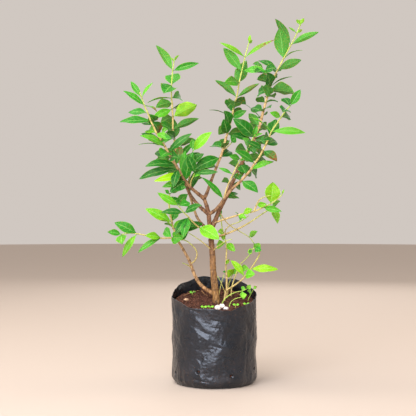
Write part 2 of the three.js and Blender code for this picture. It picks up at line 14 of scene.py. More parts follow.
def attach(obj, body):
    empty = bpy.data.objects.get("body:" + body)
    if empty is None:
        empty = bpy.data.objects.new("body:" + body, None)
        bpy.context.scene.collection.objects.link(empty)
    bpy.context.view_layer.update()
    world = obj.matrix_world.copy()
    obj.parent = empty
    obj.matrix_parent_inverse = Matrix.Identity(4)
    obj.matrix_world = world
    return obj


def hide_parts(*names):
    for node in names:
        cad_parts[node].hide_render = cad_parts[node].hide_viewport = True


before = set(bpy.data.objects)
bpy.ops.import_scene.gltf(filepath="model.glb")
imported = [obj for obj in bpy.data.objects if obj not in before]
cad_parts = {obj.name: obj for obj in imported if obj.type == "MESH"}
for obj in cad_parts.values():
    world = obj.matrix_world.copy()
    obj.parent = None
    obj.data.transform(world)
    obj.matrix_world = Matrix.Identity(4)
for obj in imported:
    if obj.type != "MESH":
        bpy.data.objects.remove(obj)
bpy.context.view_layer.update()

MM = 0.001

# ---- driving dimensions, in millimetres ----

BAG_RADIUS = 64.5
BAG_FOOT_RADIUS = 57.0
BAG_CORNER_HEIGHT = 11.0
RIM_FRONT, RIM_SIDE, RIM_BACK, RIM_WAVE = 116.0, 135.0, 159.0, 2.2
SOIL_FRONT, SOIL_MIDDLE, SOIL_BACK, SOIL_MOUND = 113.0, 124.0, 140.0, 3.0
FILM_THICKNESS = 0.5
RIM_LIP = 0.48
BAG_COLUMNS = 380
BAG_ROWS = 136
BAG_FLOOR_ROWS = 5
# The film's inner face: rows down from the rim, how deep they go, and its hidden floor.
BAG_INNER_ROWS = 26
BAG_INNER_DEPTH = 34.0
BAG_INNER_FLOOR = 82.0
BAG_INNER_FLOOR_INSET = 4.0
DRAIN_HOLE_RADIUS = 2.5
DRAIN_HOLE_HEIGHT = 19.0
DRAIN_HOLE_COUNT = 8
DRAIN_HOLE_STAGGER = 6.0
DRAIN_HOLE_DEPTH = 3.5

SOIL_COLUMNS = 200
SOIL_RINGS = 72
SOIL_GAP = 2.6
# The soil's sides and bottom: (distance in from its edge, height).
SOIL_BELOW = [(0.0, 60.0), (0.0, 12.0), (9.9, 3.0)]
CRUMB_COUNT = 420
CRUMB_SIZES = (0.6, 0.8, 0.9, 1.2, 1.7)
CRUMB_ROWS, CRUMB_COLUMNS = 5, 7
STONE_ROWS, STONE_COLUMNS = 20, 28
STONE_LIFT = 0.45

LEAF_THICKNESS = 0.35
LEAF_ROWS = 28
LEAF_COLUMNS = 10
LEAF_WIDEN = 0.9
SIDE_VEINS = 5.0
VEIN_QUILT = 0.011
STALK_SHARE, STALK_LENGTH, STALK_HALF_WIDTH = 0.14, 2.6, 0.55
TIP_HALF_WIDTH = 0.12
MIDRIB_FOOT, MIDRIB_TIP = 0.55, 0.18
BURNT_SHARE = 0.07
STEM_SIDES = 12
STEM_STEP = 2.2
BARK_INDEX, BLADE_INDEX = 0, 1

# Leaf tints, from old and dark to young and yellow.
DARK, MID, LIGHT, YOUNG = 0.0, 0.33, 0.66, 1.0

# The way a blade faces, in degrees up from facing the best side.
EDGE = 78
FACE_TILT = (-8, 30)
# Beyond this, in mm behind the trunk, this share of the blades face backwards.
REAR_LEAVES = 16
REAR_SHARE = 0.65
REAR_TILT = 15
# A blade seen aslant is widened by up to this share, to look as wide as it is set.
LEAST_FACING = 0.62

# ---- the shrub: listed nodes of every shoot ----
# name: (parent, start radius, end radius, nodes); a node is its place and then its
# leaves, each (reach x, reach y, reach z, width, tint) with EDGE for one seen edge-on.

SHOOTS = {
    "trunk": (None, 5.6, 2.7, [
        ((4, -10, 88),), ((3, -10, 123),), ((1, -9, 143),), ((-2, -7, 173),), ((-3, -5, 196),),
        ((-5, -3, 219),), ((-7, -1, 237),), ((-9, 0, 259),), ((-12, 0, 271),), ((-16, 0, 283),),
    ]),
    "left_leader": ("trunk", 2.5, 0.8, [
        ((-16, 0, 283),), ((-24, -5, 289),), ((-36, -10, 299),),
        ((-44, -14, 309), (12, -16, 44, 19, DARK), (-23, -26, -17, 13, DARK)),
        ((-49, -18, 318), (-42, -22, -10, 11, YOUNG), (5, -8, 37, 13, MID)),
        ((-55, -21, 327), (-60, 6, -15, 14, DARK), (-7, -16, -29, 13, DARK)),
        ((-58, -23, 332), (-46, -12, -1, 16, DARK), (7, 22, 31, 12, MID)),
        ((-66, -27, 345), (12, -22, -2, 12, DARK), (-25, 30, 8, 11, DARK)),
        ((-70, -29, 352), (-10, -24, -8, 15, MID), (36, -6, 28, 13, DARK)),
        ((-75, -31, 361), (-36, -16, 15, 11, LIGHT), (-40, 8, 3, 8, MID, EDGE)),
        ((-80, -33, 370), (-31, 14, 11, 9, DARK), (15, -26, 1, 10, MID)),
        ((-87, -35, 380), (-12, 24, 8, 13, LIGHT), (19, -18, -11, 10, LIGHT)),
        ((-92, -37, 391), (-15, 26, 7, 12, DARK)),
        ((-96, -38, 399), (-45, -10, -3, 14, MID), (12, 26, -16, 12, DARK)),
        ((-100, -40, 410), (-30, 12, 2, 11, MID), (8, 30, -9, 12, MID)),
        ((-105, -42, 421), (-31, -8, 21, 11, MID), (20, -14, -11, 9, LIGHT, EDGE)),
        ((-109, -43, 433), (-17, 8, 25, 10, MID), (17, -4, 22, 5, LIGHT)),
        ((-112, -44, 441),),
    ]),
    "left_mid_leader": ("trunk", 2.6, 0.8, [
        ((-9, 0, 259),), ((-18, 7, 266),), ((-33, 14, 282),), ((-43, 20, 300),),
        ((-47, 23, 312), (-10, -34, 15, 12, DARK)),
        ((-51, 27, 327), (-22, 32, -2, 13, DARK)),
        ((-52, 28, 334), (29, 20, 21, 14, DARK)),
        ((-56, 30, 344), (26, -20, 27, 9, DARK), (-4, 30, 19, 12, DARK)),
        ((-61, 31, 363), (33, 24, 12, 12, DARK), (-15, 30, -18, 13, DARK)),
        ((-63, 32, 377), (-3, 20, 34, 19, DARK), (-12, -30, 8, 10, DARK)),
        ((-65, 31, 387), (-21, -22, 11, 13, MID)),
        ((-65, 31, 391), (41, -12, 16, 13, DARK), (-36, -14, 1, 9, LIGHT, EDGE)),
        ((-65, 30, 411), (38, -8, 18, 24, YOUNG), (-20, 28, -6, 13, DARK)),
        ((-66, 29, 423), (-30, -18, -17, 13, LIGHT), (15, 34, 1, 11, MID)),
        ((-66, 28, 432), (-27, 22, -4, 12, MID)),
        ((-67, 27, 440), (-37, -14, -9, 11, LIGHT, EDGE), (13, 34, 2, 12, MID)),
        ((-67, 25, 459), (3, 30, 23, 17, MID), (-10, -30, -15, 18, MID)),
        ((-65, 23, 482), (-26, -6, 39, 15, MID), (41, -8, 11, 12, MID)),
        ((-63, 22, 496), (-4, -3, 6, 3, YOUNG), (8, 3, 11, 4, YOUNG)),
    ]),
    "left_inner_branch": ("trunk", 2.2, 0.8, [
        ((-7, -1, 234),), ((-17, 6, 241),), ((-27, 14, 254),), ((-34, 24, 274),),
        ((-40, 34, 291), (25, -20, 42, 13, DARK), (-20, 24, -17, 12, MID)),
        ((-46, 42, 304), (-36, -8, -3, 13, MID), (27, 28, 12, 12, DARK)),
        ((-56, 52, 321), (-20, 30, -8, 13, DARK), (27, 8, 13, 13, DARK)),
        ((-66, 61, 340), (-31, 10, 3, 14, DARK), (26, 24, 10, 14, DARK)),
        ((-74, 66, 355), (-17, 30, -7, 13, DARK), (20, -14, 9, 13, DARK)),
        ((-81, 71, 371), (-26, 14, 8, 13, MID), (18, 20, 17, 13, MID)),
        ((-86, 75, 387), (-8, 6, 18, 8, LIGHT), (14, 10, 15, 8, LIGHT)),
    ]),
    "centre_leader": ("trunk", 2.4, 0.8, [
        ((-16, 0, 283),), ((-12, 2, 290),), ((-5, 8, 310),),
        ((0, 11, 323), (-28, -22, -5, 10, DARK)),
        ((3, 12, 331), (-19, 22, 4, 14, DARK)),
        ((9, 15, 346), (-41, -18, -20, 19, DARK), (15, 28, 12, 12, DARK)),
        ((14, 17, 361), (8, -26, 8, 11, DARK), (-19, 26, 4, 12, DARK)),
        ((18, 19, 377), (-6, 18, -16, 12, DARK)),
        ((20, 20, 383), (-6, -26, 21, 12, DARK), (31, 22, 6, 12, DARK)),
        ((23, 21, 395), (-8, -16, 23, 15, DARK), (-16, 24, -11, 12, DARK)),
        ((27, 23, 408), (-35, -10, 12, 8, DARK, EDGE), (23, -12, 11, 11, MID)),
        ((30, 24, 422), (0, -32, 9, 15, DARK), (13, 26, -9, 12, DARK)),
        ((33, 25, 436), (-12, 24, -8, 14, DARK), (17, 30, -3, 12, DARK)),
        ((35, 26, 441), (-34, 4, 27, 11, DARK), (35, -6, 21, 9, DARK)),
        ((39, 27, 464), (-23, -30, -3, 12, LIGHT), (12, 14, 37, 19, DARK), (-5, 24, 25, 10, DARK)),
        ((43, 27, 482), (-29, -10, 35, 17, MID), (40, -14, -5, 13, MID)),
        ((48, 28, 504), (-40, -14, 21, 8, LIGHT), (45, -12, 25, 8, LIGHT)),
        ((54, 27, 526), (2, -5, 12, 5, YOUNG), (6, 4, 5, 5, YOUNG)),
    ]),
    "right_leader": ("trunk", 3.4, 0.8, [
        ((-6, -1, 234),), ((0, 2, 246),), ((7, 7, 263),),
        ((18, 13, 285), (19, 14, 5, 7, DARK), (21, 12, -2, 7, DARK)),
        ((27, 18, 305), (-15, 26, 4, 11, DARK), (14, 16, -8, 10, DARK)),
        ((38, 24, 329), (-15, 30, 10, 13, DARK), (21, 28, -8, 12, DARK)),
        ((46, 27, 344), (28, 24, 2, 14, DARK), (-4, 10, -28, 12, DARK)),
        ((52, 29, 355), (-18, 26, 6, 13, DARK), (-2, -30, 16, 11, DARK)),
        ((61, 32, 372), (-37, -16, 9, 12, DARK), (8, 30, -15, 13, DARK)),
        ((63, 33, 378), (-34, -16, 29, 22, DARK), (21, 26, -10, 13, DARK)),
        ((68, 34, 387), (14, -24, 1, 10, DARK, EDGE), (-12, 24, 16, 13, DARK)),
        ((71, 35, 396), (-17, -6, 20, 14, DARK), (13, 22, -3, 13, DARK)),
        ((74, 36, 408), (-30, -8, 25, 7, DARK, EDGE), (9, 28, 9, 13, DARK)),
        ((77, 37, 420), (10, -30, 3, 16, DARK), (-17, 26, 8, 13, DARK)),
        ((81, 38, 434), (-16, -20, 5, 9, DARK), (18, -18, -1, 9, DARK, EDGE)),
        ((83, 38, 442), (1, -30, 17, 12, DARK), (14, 26, 3, 13, DARK)),
        ((86, 39, 453), (39, -14, -6, 18, DARK), (-15, 30, -3, 13, DARK)),
        ((88, 39, 459), (34, -8, 15, 7, DARK, EDGE), (-7, -28, 19, 14, DARK)),
        ((90, 39, 466), (-22, 14, 7, 15, DARK), (11, 26, 11, 12, DARK)),
        ((97, 40, 480), (2, 30, 11, 12, DARK)),
        ((100, 40, 486), (37, -6, 15, 15, DARK), (-30, 10, 16, 12, DARK)),
        ((109, 39, 503), (-7, -12, 47, 25, MID), (29, -10, 12, 9, LIGHT, EDGE)),
        ((121, 38, 525), (-26, -12, 39, 12, DARK), (43, -8, 19, 11, MID)),
        ((130, 37, 543), (-13, -3, 9, 3, LIGHT), (8, -6, 5, 4, YOUNG)),
        ((135, 36, 556), (6, -4, 10, 6, YOUNG), (-6, -4, 8, 5, YOUNG), (4, 10, 8, 7, YOUNG)),
    ]),
    "right_outer_leader": ("trunk", 2.4, 0.8, [
        ((-8, 0, 259),), ((-1, -3, 263),), ((7, -6, 271),),
        ((14, -10, 281), (-33, -16, 33, 10, MID)),
        ((27, -18, 297),),
        ((40, -26, 309), (25, -14, -18, 16, MID), (-10, 24, 8, 10, DARK)),
        ((48, -30, 318), (-8, 22, 15, 12, DARK)),
        ((54, -34, 325), (34, -14, 12, 9, LIGHT), (10, 20, -8, 12, DARK)),
        ((60, -38, 335), (-30, -14, 18, 13, MID), (18, 18, 5, 14, DARK)),
        ((66, -42, 343), (8, 22, 12, 12, DARK)),
        ((72, -46, 354), (20, -14, -17, 14, DARK), (-25, -12, 12, 9, DARK)),
        ((76, -49, 362), (-13, 20, 9, 12, DARK), (17, 22, 7, 11, DARK)),
        ((81, -53, 373), (12, 20, 28, 17, DARK), (-10, -22, -5, 10, DARK)),
        ((84, -55, 381), (50, -6, -2, 12, LIGHT), (-35, -10, 21, 10, LIGHT, EDGE)),
        ((98, -60, 402), (-17, -12, 6, 9, LIGHT), (15, 24, 2, 10, DARK)),
        ((106, -62, 413), (-8, -24, -5, 13, DARK)),
        ((111, -64, 418), (15, -4, 24, 14, MID), (-8, 18, 14, 12, DARK)),
    ]),
    "right_inner_shoot": ("right_outer_leader", 1.2, 0.7, [
        ((14, -10, 281),), ((16, -13, 289),), ((21, -15, 304),),
        ((28, -17, 319), (-22, -4, 10, 6, MID), (11, 14, -8, 8, MID)),
        ((35, -19, 334),),
        ((40, -19, 342), (-18, -14, 4, 9, MID), (14, -18, -2, 10, MID)),
        ((52, -18, 360), (8, -18, -11, 10, DARK), (-10, -14, 13, 10, MID)),
        ((59, -12, 376), (6, -4, 18, 8, MID), (14, -6, 5, 6, LIGHT)),
    ]),
    "left_basal_shoot": ("trunk", 2.9, 1, [
        ((1, -9, 136),), ((-9, -5, 141),), ((-18, -1, 147),), ((-26, 3, 156),),
        ((-33, 6, 171),), ((-39, 6, 187),), ((-48, 4, 204),),
        ((-56, 0, 218), (18, -20, 22, 15, DARK), (-8, -18, -2, 9, LIGHT)),
        ((-60, -5, 230), (43, 12, 14, 15, DARK), (-18, 24, 13, 11, DARK)),
        ((-63, -7, 237), (-24, -22, 14, 12, YOUNG, EDGE), (17, -16, 14, 8, LIGHT)),
        ((-65, -10, 246), (-40, -8, 21, 16, LIGHT), (6, 20, 15, 10, MID)),
        ((-68, -14, 262),),
        ((-69, -18, 274), (-9, 10, 13, 9, MID), (15, 14, 7, 13, MID)),
        ((-68, -24, 289), (-7, -6, 6, 5, MID), (26, -8, 10, 11, DARK)),
    ]),
    "left_low_twig": ("left_basal_shoot", 1.3, 0.8, [
        ((-56, 0, 218),),
        ((-65, -5, 222), (18, -26, 1, 13, MID), (-12, 20, 14, 11, MID)),
        ((-81, -12, 222), (-24, -16, 4, 9, LIGHT), (-35, -6, -22, 10, MID)),
        ((-98, -18, 225),),
        ((-117, -22, 229), (-34, -6, 17, 17, MID), (-22, -6, -35, 11, LIGHT)),
        ((-129, -26, 230),),
        ((-140, -28, 228), (-21, -8, 4, 10, MID), (2, -22, -14, 12, LIGHT)),
    ]),
    "left_fan_twig": ("trunk", 1.3, 0.8, [
        ((-7, -1, 236),), ((-15, -10, 236),),
        ((-24, -18, 239), (31, -22, -18, 19, LIGHT), (-29, 14, 8, 13, DARK)),
        ((-33, -26, 247),),
        ((-39, -30, 254), (-8, -16, -31, 14, MID), (-20, -14, -25, 13, DARK)),
        ((-46, -35, 261), (-34, -8, 0, 12, DARK), (27, -16, 11, 12, DARK)),
        ((-54, -42, 271), (-31, -12, 20, 12, LIGHT), (17, 12, 5, 11, MID)),
    ]),
    "left_knot_twig": ("left_leader", 1.1, 0.7, [
        ((-37, -10, 300),), ((-36, -18, 308),),
        ((-33, -26, 314), (20, -8, 7, 5, LIGHT)),
        ((-30, -30, 320), (35, -8, 2, 9, DARK), (-11, -12, 27, 14, DARK)),
    ]),
    "left_back_twig": ("left_mid_leader", 1, 0.7, [
        ((-43, 20, 300),), ((-38, 12, 319),),
        ((-35, 3, 336), (19, -8, 15, 13, DARK), (-17, -14, 10, 12, DARK)),
        ((-33, -6, 355), (29, -6, 29, 17, LIGHT), (-1, 14, 19, 8, MID)),
    ]),
    "left_loop_twig": ("left_basal_shoot", 1, 0.7, [
        ((-37, 6, 182),), ((-31, 2, 186),), ((-27, -3, 194),), ((-28, -8, 203),),
        ((-34, -12, 211),), ((-43, -14, 218),), ((-51, -15, 220),),
    ]),
    "left_bare_twig": ("left_basal_shoot", 0.8, 0.5, [
        ((-35, 6, 176),), ((-41, 0, 180),), ((-49, -8, 184),),
    ]),
    "trunk_left_twig": ("trunk", 0.9, 0.5, [
        ((-4, -4, 203),), ((-11, -12, 210),), ((-22, -20, 219),), ((-32, -28, 226),),
        ((-40, -34, 231),),
    ]),
    "trunk_right_twig": ("trunk", 0.9, 0.5, [
        ((-3, -4, 201),), ((2, -12, 207),), ((10, -20, 213),), ((17, -26, 218),),
        ((26, -30, 221),),
    ]),
    "centre_side_shoot": ("centre_leader", 0.9, 0.6, [
        ((13, 17, 358),), ((17, 12, 360),), ((21, 6, 363),),
        ((26, 0, 368), (7, -6, 8, 9, DARK), (3, 8, 15, 7, DARK)),
    ]),
    "right_top_shoot": ("right_leader", 1, 0.6, [
        ((92, 39, 470),), ((85, 30, 474),),
        ((78, 22, 482), (17, -20, 2, 11, DARK), (-15, -18, -5, 12, DARK)),
        ((71, 16, 488), (-2, 20, 11, 12, DARK)),
    ]),
    "right_low_branch": ("trunk", 1.8, 0.8, [
        ((-5, -3, 220),), ((5, 2, 224),), ((18, 5, 228),), ((35, 10, 235),), ((54, 17, 245),),
        ((75, 24, 259),),
        ((90, 28, 268), (8, -14, -24, 12, YOUNG), (14, 8, 11, 9, LIGHT)),
    ]),
    "right_high_branch": ("right_leader", 1.5, 0.8, [
        ((0, 2, 245),), ((5, -6, 247),), ((16, -14, 251),),
        ((35, -20, 257), (13, -6, -5, 8, LIGHT)),
        ((42, -22, 259), (15, -8, 7, 9, YOUNG)),
        ((60, -27, 263),),
        ((73, -30, 269), (27, -14, -6, 10, LIGHT)),
        ((84, -33, 274), (4, 0, 33, 26, YOUNG)),
        ((94, -35, 281),),
        ((101, -37, 288), (3, -2, 8, 3, YOUNG)),
    ]),
    "right_upright_twig": ("right_high_branch", 1, 0.6, [
        ((60, -27, 263),),
        ((63, -30, 272), (15, -10, 2, 8, LIGHT)),
        ((68, -36, 281),), ((76, -40, 285),), ((84, -43, 287),),
    ]),
    "right_arching_twig": ("right_leader", 0.9, 0.6, [
        ((7, 7, 264),), ((14, 16, 252),), ((24, 26, 241),), ((37, 34, 233),),
        ((55, 42, 222), (14, 12, 9, 9, LIGHT)),
        ((62, 46, 213), (11, 6, -12, 12, LIGHT)),
    ]),
    "thin_shoot": (None, 1.6, 0.8, [
        ((20, 14, 104),), ((19, 14, 125),), ((19, 14, 141),), ((19, 15, 162),),
        ((18, 15, 169), (-5, -3, 0, 3, MID)),
        ((18, 16, 180), (5, -6, 9, 5, LIGHT)),
        ((19, 17, 203),),
        ((18, 17, 214), (14, -10, -13, 11, LIGHT), (-14, 18, -7, 10, LIGHT)),
        ((14, 20, 230), (-9, -14, 1, 7, YOUNG), (0, -12, -12, 6, YOUNG)),
        ((12, 20, 238),),
        ((10, 22, 254), (-7, 14, 12, 8, MID)),
    ]),
    "green_twig": ("thin_shoot", 0.8, 0.6, [
        ((16, 18, 224),), ((18, 13, 235),), ((26, 8, 242),),
        ((39, 0, 247), (-6, 18, 14, 9, LIGHT)),
        ((52, -8, 256),),
    ]),
    "hooked_shoot": (None, 1.5, 0.7, [
        ((14, 2, 104),), ((15, 2, 122),), ((18, 2, 140),), ((26, -1, 146),), ((38, -6, 155),),
        ((46, -11, 163), (15, -12, 5, 11, LIGHT), (-21, 4, 25, 11, YOUNG)),
        ((55, -15, 175), (41, -10, 0, 13, YOUNG), (-14, 20, -4, 9, LIGHT)),
        ((63, -20, 188),), ((68, -23, 198),), ((66, -24, 204),),
        ((61, -25, 207), (9, -14, -3, 8, MID)),
        ((56, -26, 205), (-4, -3, -5, 5, DARK)),
    ]),
    "back_right_shoot": (None, 1.1, 0.6, [
        ((25, 22, 112),), ((26, 22, 128),), ((27, 22, 143),), ((31, 22, 157),),
        ((37, 25, 172), (14, 16, 0, 9, LIGHT)),
        ((41, 26, 180),), ((49, 28, 188),),
        ((55, 28, 194), (2, 6, 11, 7, YOUNG)),
    ]),
    "right_sprig": (None, 0.9, 0.6, [
        ((20, 34, 116),), ((21, 34, 130),), ((22, 34, 144),), ((25, 32, 155),),
        ((28, 30, 163), (-8, -14, 8, 11, YOUNG), (8, 12, 8, 8, LIGHT)),
    ]),
    "leaning_dry_twig": (None, 0.9, 0.5, [
        ((6, 6, 108),), ((6, 6, 126),), ((9, 6, 144),), ((12, 8, 156),), ((15, 10, 165),),
    ]),
    "back_dry_twig": (None, 0.8, 0.5, [
        ((17, 28, 112),), ((18, 28, 130),), ((14, 28, 143),), ((9, 30, 154),), ((5, 32, 161),),
    ]),
}

WEEDS = {
    "weed_sprig": (None, 0.8, 0.6, [
        ((10, -18, 104),), ((12, -18, 124),), ((21, -14, 134),), ((32, -10, 139),),
        ((42, -8, 141), (3, 3, 7, 7, MID), (2, -6, -12, 10, LIGHT)),
        ((49, -9, 144), (6, -2, 7, 8, YOUNG)),
    ]),
    "weed_runner": (None, 0.7, 0.5, [
        ((22, -28, 100),), ((23, -28, 122),), ((30, -26, 130),),
        ((40, -24, 133), (8, -4, 5, 6, YOUNG)),
    ]),
    "rim_weed": (None, 0.7, 0.5, [
        ((50, 4, 108),), ((52, 3, 126),),
        ((57, 0, 137), (-6, -6, 5, 5, YOUNG)),
        ((60, -3, 144), (5, -3, 4, 5, YOUNG)),
    ]),
}

SEEDLING_PLACES = [(-7, -45), (-17, -46), (-35, 30), (31, -38), (47, -28)]
SEEDLING_DEPTH, SEEDLING_HEIGHT, SEEDLING_SPREAD, SEEDLING_WIDTH = 8, 4, 5, 3.5
SEEDLING_RADIUS = 0.5

# name: (place, half sizes, turn in degrees, material)
STONES = {
    "pale_lump_large": ((5, -43.5), (5.2, 4.0, 3.8), 20, "pale_stone"),
    "pale_lump_middle": ((11.5, -35.5), (4.2, 3.6, 4.2), 10, "pale_stone"),
    "pale_lump_small": ((17, -43.5), (3.8, 3.0, 2.8), -15, "pale_stone"),
    "tan_pebble": ((-43.5, 6), (3.8, 2.8, 2.4), 10, "tan_stone"),
}
FALLEN_TWIGS = {
    "fallen_twig_left": ((-47, 24), (-36, 38), (-25, 50)),
    "fallen_twig_middle": ((-20, 46), (-15, 31), (-10, 16)),
    "fallen_twig_back": ((24, 46), (33, 36), (42, 24)),
}
FALLEN_TWIG_RADIUS = 0.9


# ---- small helpers ----

def linear(hex_colour):
    """A colour written as on screen, as the linear RGBA that a shader takes."""
    channels = [int(hex_colour[i:i + 2], 16) / 255 for i in (1, 3, 5)]
    return [((c + 0.055) / 1.055) ** 2.4 if c > 0.04045 else c / 12.92 for c in channels] + [1.0]


def smooth(low, high, value):
    share = min(1.0, max(0.0, (value - low) / (high - low)))
    return share * share * (3 - 2 * share)


def mix(a, b, share):
    return a + (b - a) * share


def add_object(name, data):
    obj = bpy.data.objects.new(name, data)
    bpy.context.scene.collection.objects.link(obj)
    return obj


def circle(radius, columns):
    """Points around a circle, as (x, y)."""
    turns = [2 * math.pi * c / columns for c in range(columns)]
    return [(radius * math.cos(turn), radius * math.sin(turn)) for turn in turns]


def ball_directions(rows, columns):
    """Rows of unit directions, from the one at the top to the one at the bottom."""
    grid = []
    for r in range(rows + 1):
        polar = math.pi * r / rows
        around = circle(math.sin(polar), columns) if 0 < r < rows else [(0.0, 0.0)]
        grid.append([Vector((x, y, math.cos(polar))) for x, y in around])
    return grid


class MeshParts:
    """Collects points, faces and their attributes, and makes one object of them."""

    def __init__(self):
        self.points = []
        self.faces = []
        self.materials = []
        self.uvs = []
        self.floats = {}
        self.sharp = set()

    def point(self, place, **values):
        for name in values:
            self.floats.setdefault(name, {})
        index = len(self.points)
        self.points.append(place)
        for name, value in values.items():
            self.floats[name][index] = value
        return index

    def face(self, corners, material=BARK_INDEX, uv=None):
        self.faces.append(corners)
        self.materials.append(material)
        self.uvs.extend(uv if uv else [(0.0, 0.0)] * len(corners))

    def join_rings(self, rings, columns):
        """Faces between rings, from the top down; a ring of one point closes an end."""
        for upper, lower in zip(rings, rings[1:]):
            for c in range(columns):
                d = (c + 1) % columns
                corners = [upper[c % len(upper)], lower[c % len(lower)],
                           lower[d % len(lower)], upper[d % len(upper)]]
                self.face(tuple(dict.fromkeys(corners)))

    def build(self, name, materials, replaced):
        mesh = bpy.data.meshes.new(name)
        mesh.from_pydata([tuple(c * MM for c in p) for p in self.points], [], self.faces)
        for material in materials:
            mesh.materials.append(material)
        mesh.polygons.foreach_set("material_index", self.materials)
        mesh.polygons.foreach_set("use_smooth", [True] * len(self.faces))
        layer = mesh.uv_layers.new(name="UVMap")
        layer.data.foreach_set("uv", [c for uv in self.uvs for c in uv])
        for key, values in self.floats.items():
            attribute = mesh.attributes.new(key, "FLOAT", "POINT")
            attribute.data.foreach_set(
                "value", [values.get(i, 0.0) for i in range(len(self.points))])
        if self.sharp:
            flags = [tuple(sorted(edge.vertices)) in self.sharp for edge in mesh.edges]
            mesh.edges.foreach_set("use_edge_sharp", flags)
        mesh.validate()
        mesh.update()
        obj = add_object(name, mesh)
        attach(obj, "root")
        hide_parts(*replaced)


# ---- materials ----

def new_material(name, **settings):
    material = bpy.data.materials.new(name)
    material.use_nodes = True
    shader = material.node_tree.nodes["Principled BSDF"]
    for key, value in settings.items():
        shader.inputs[key.replace("_", " ")].default_value = value
    return material


class Graph:
    """Short ways to add and link a material's nodes."""

    def __init__(self, material):
        self.tree = material.node_tree
        self.shader = self.tree.nodes["Principled BSDF"]

    def add(self, kind, inputs=None, **settings):
        node = self.tree.nodes.new(kind)
        for key, value in settings.items():
            setattr(node, key, value)
        for key, value in (inputs or {}).items():
            self.put(node.inputs[key], value)
        return node

    def put(self, socket, value):
        if isinstance(value, bpy.types.NodeSocket):
            self.tree.links.new(value, socket)
        else:
            socket.default_value = value

    def attribute(self, name):
        return self.add("ShaderNodeAttribute", attribute_name=name).outputs["Fac"]

    def math(self, operation, a, b=0.0, c=0.0):
        return self.add("ShaderNodeMath", {0: a, 1: b, 2: c}, operation=operation).outputs[0]

    def noise(self, scale, detail=3.0, roughness=0.55, vector=None):
        node = self.add("ShaderNodeTexNoise",
                        {"Scale": scale, "Detail": detail, "Roughness": roughness})
        vector = vector or self.add("ShaderNodeTexCoord").outputs["Object"]
        self.put(node.inputs["Vector"], vector)
        return node.outputs["Fac"]

    def ramp(self, factor, stops):
        node = self.add("ShaderNodeValToRGB", {"Fac": factor})
        elements = node.color_ramp.elements
        while len(elements) < len(stops):
            elements.new(0.5)
        for element, (place, colour) in zip(elements, stops):
            element.position = place
            element.color = linear(colour)
        return node.outputs["Color"]

    def blend(self, factor, a, b, kind="MIX"):
        node = self.add("ShaderNodeMix", data_type="RGBA", blend_type=kind)
        self.put(node.inputs["Factor"], factor)
        self.put(node.inputs["A"], a)
        self.put(node.inputs["B"], b)
        return node.outputs["Result"]

    def range(self, value, low, high, to_low=0.0, to_high=1.0):
        return self.add("ShaderNodeMapRange", {
            "Value": value, "From Min": low, "From Max": high,
            "To Min": to_low, "To Max": to_high}).outputs["Result"]

    def bump(self, height, strength, distance):
        node = self.add("ShaderNodeBump",
                        {"Height": height, "Strength": strength, "Distance": distance})
        self.tree.links.new(node.outputs["Normal"], self.shader.inputs["Normal"])

    def finish(self, colour, roughness=None):
        self.put(self.shader.inputs["Base Color"], colour)
        if roughness is not None:
            self.put(self.shader.inputs["Roughness"], roughness)


def leaf_material(name, tints, under):
    material = new_material(name, Subsurface_Weight=0.12, Subsurface_Scale=0.002,
                            Specular_IOR_Level=0.32, Specular_Tint=linear("#e6eec0"))
    g = Graph(material)
    uv = g.add("ShaderNodeSeparateXYZ", {0: g.add("ShaderNodeUVMap").outputs["UV"]})
    across = g.math("ABSOLUTE", g.math("MULTIPLY_ADD", uv.outputs["X"], 2.0, -1.0))
    along = uv.outputs["Y"]
    vary = g.attribute("vary")
    colour = g.ramp(g.attribute("tint"), tints)
    patches = g.noise(120.0, 3.0)
    colour = g.blend(g.range(patches, 0.4, 0.75, 0.0, 0.35), colour, linear("#4f9a55"), "MULTIPLY")
    colour = g.blend(g.math("MULTIPLY", vary, 0.5), colour, linear("#22681a"))
    vein = g.math("FRACT", g.math("MULTIPLY", g.math("SUBTRACT", along,
                                                     g.math("MULTIPLY", across, 0.2)), SIDE_VEINS))
    vein = g.math("ABSOLUTE", g.math("SUBTRACT", vein, 0.5))
    side_veins = g.math("MULTIPLY", g.range(vein, 0.08, 0.0), g.range(across, 1.0, 0.2, 0.0, 0.2))
    midrib = g.range(across, 0.07, 0.015)
    lines = g.math("MAXIMUM", side_veins, g.math("MULTIPLY", midrib, 0.45))
    colour = g.blend(lines, colour, linear("#a9cf74"))
    margin = g.math("MULTIPLY", g.range(across, 0.9, 1.0), 0.35)
    colour = g.blend(margin, colour, linear("#a9c95a"))
    burn = g.math("MULTIPLY", g.attribute("burn"), g.range(g.noise(260.0), 0.42, 0.52))
    colour = g.blend(burn, colour, linear("#6d4a22"))
    colour = g.blend(g.math("MULTIPLY", g.attribute("under"), 0.3), colour, linear(under))
    gloss = g.range(g.noise(130.0), 0.3, 0.7, 0.4, 0.52)
    gloss = g.math("ADD", gloss, g.math("MULTIPLY", g.attribute("under"), 0.2))
    g.finish(colour, gloss)
    g.bump(g.math("ADD", g.math("MULTIPLY", lines, -0.4), g.noise(160.0, 2.0)), 0.1, 0.0002)
    return material


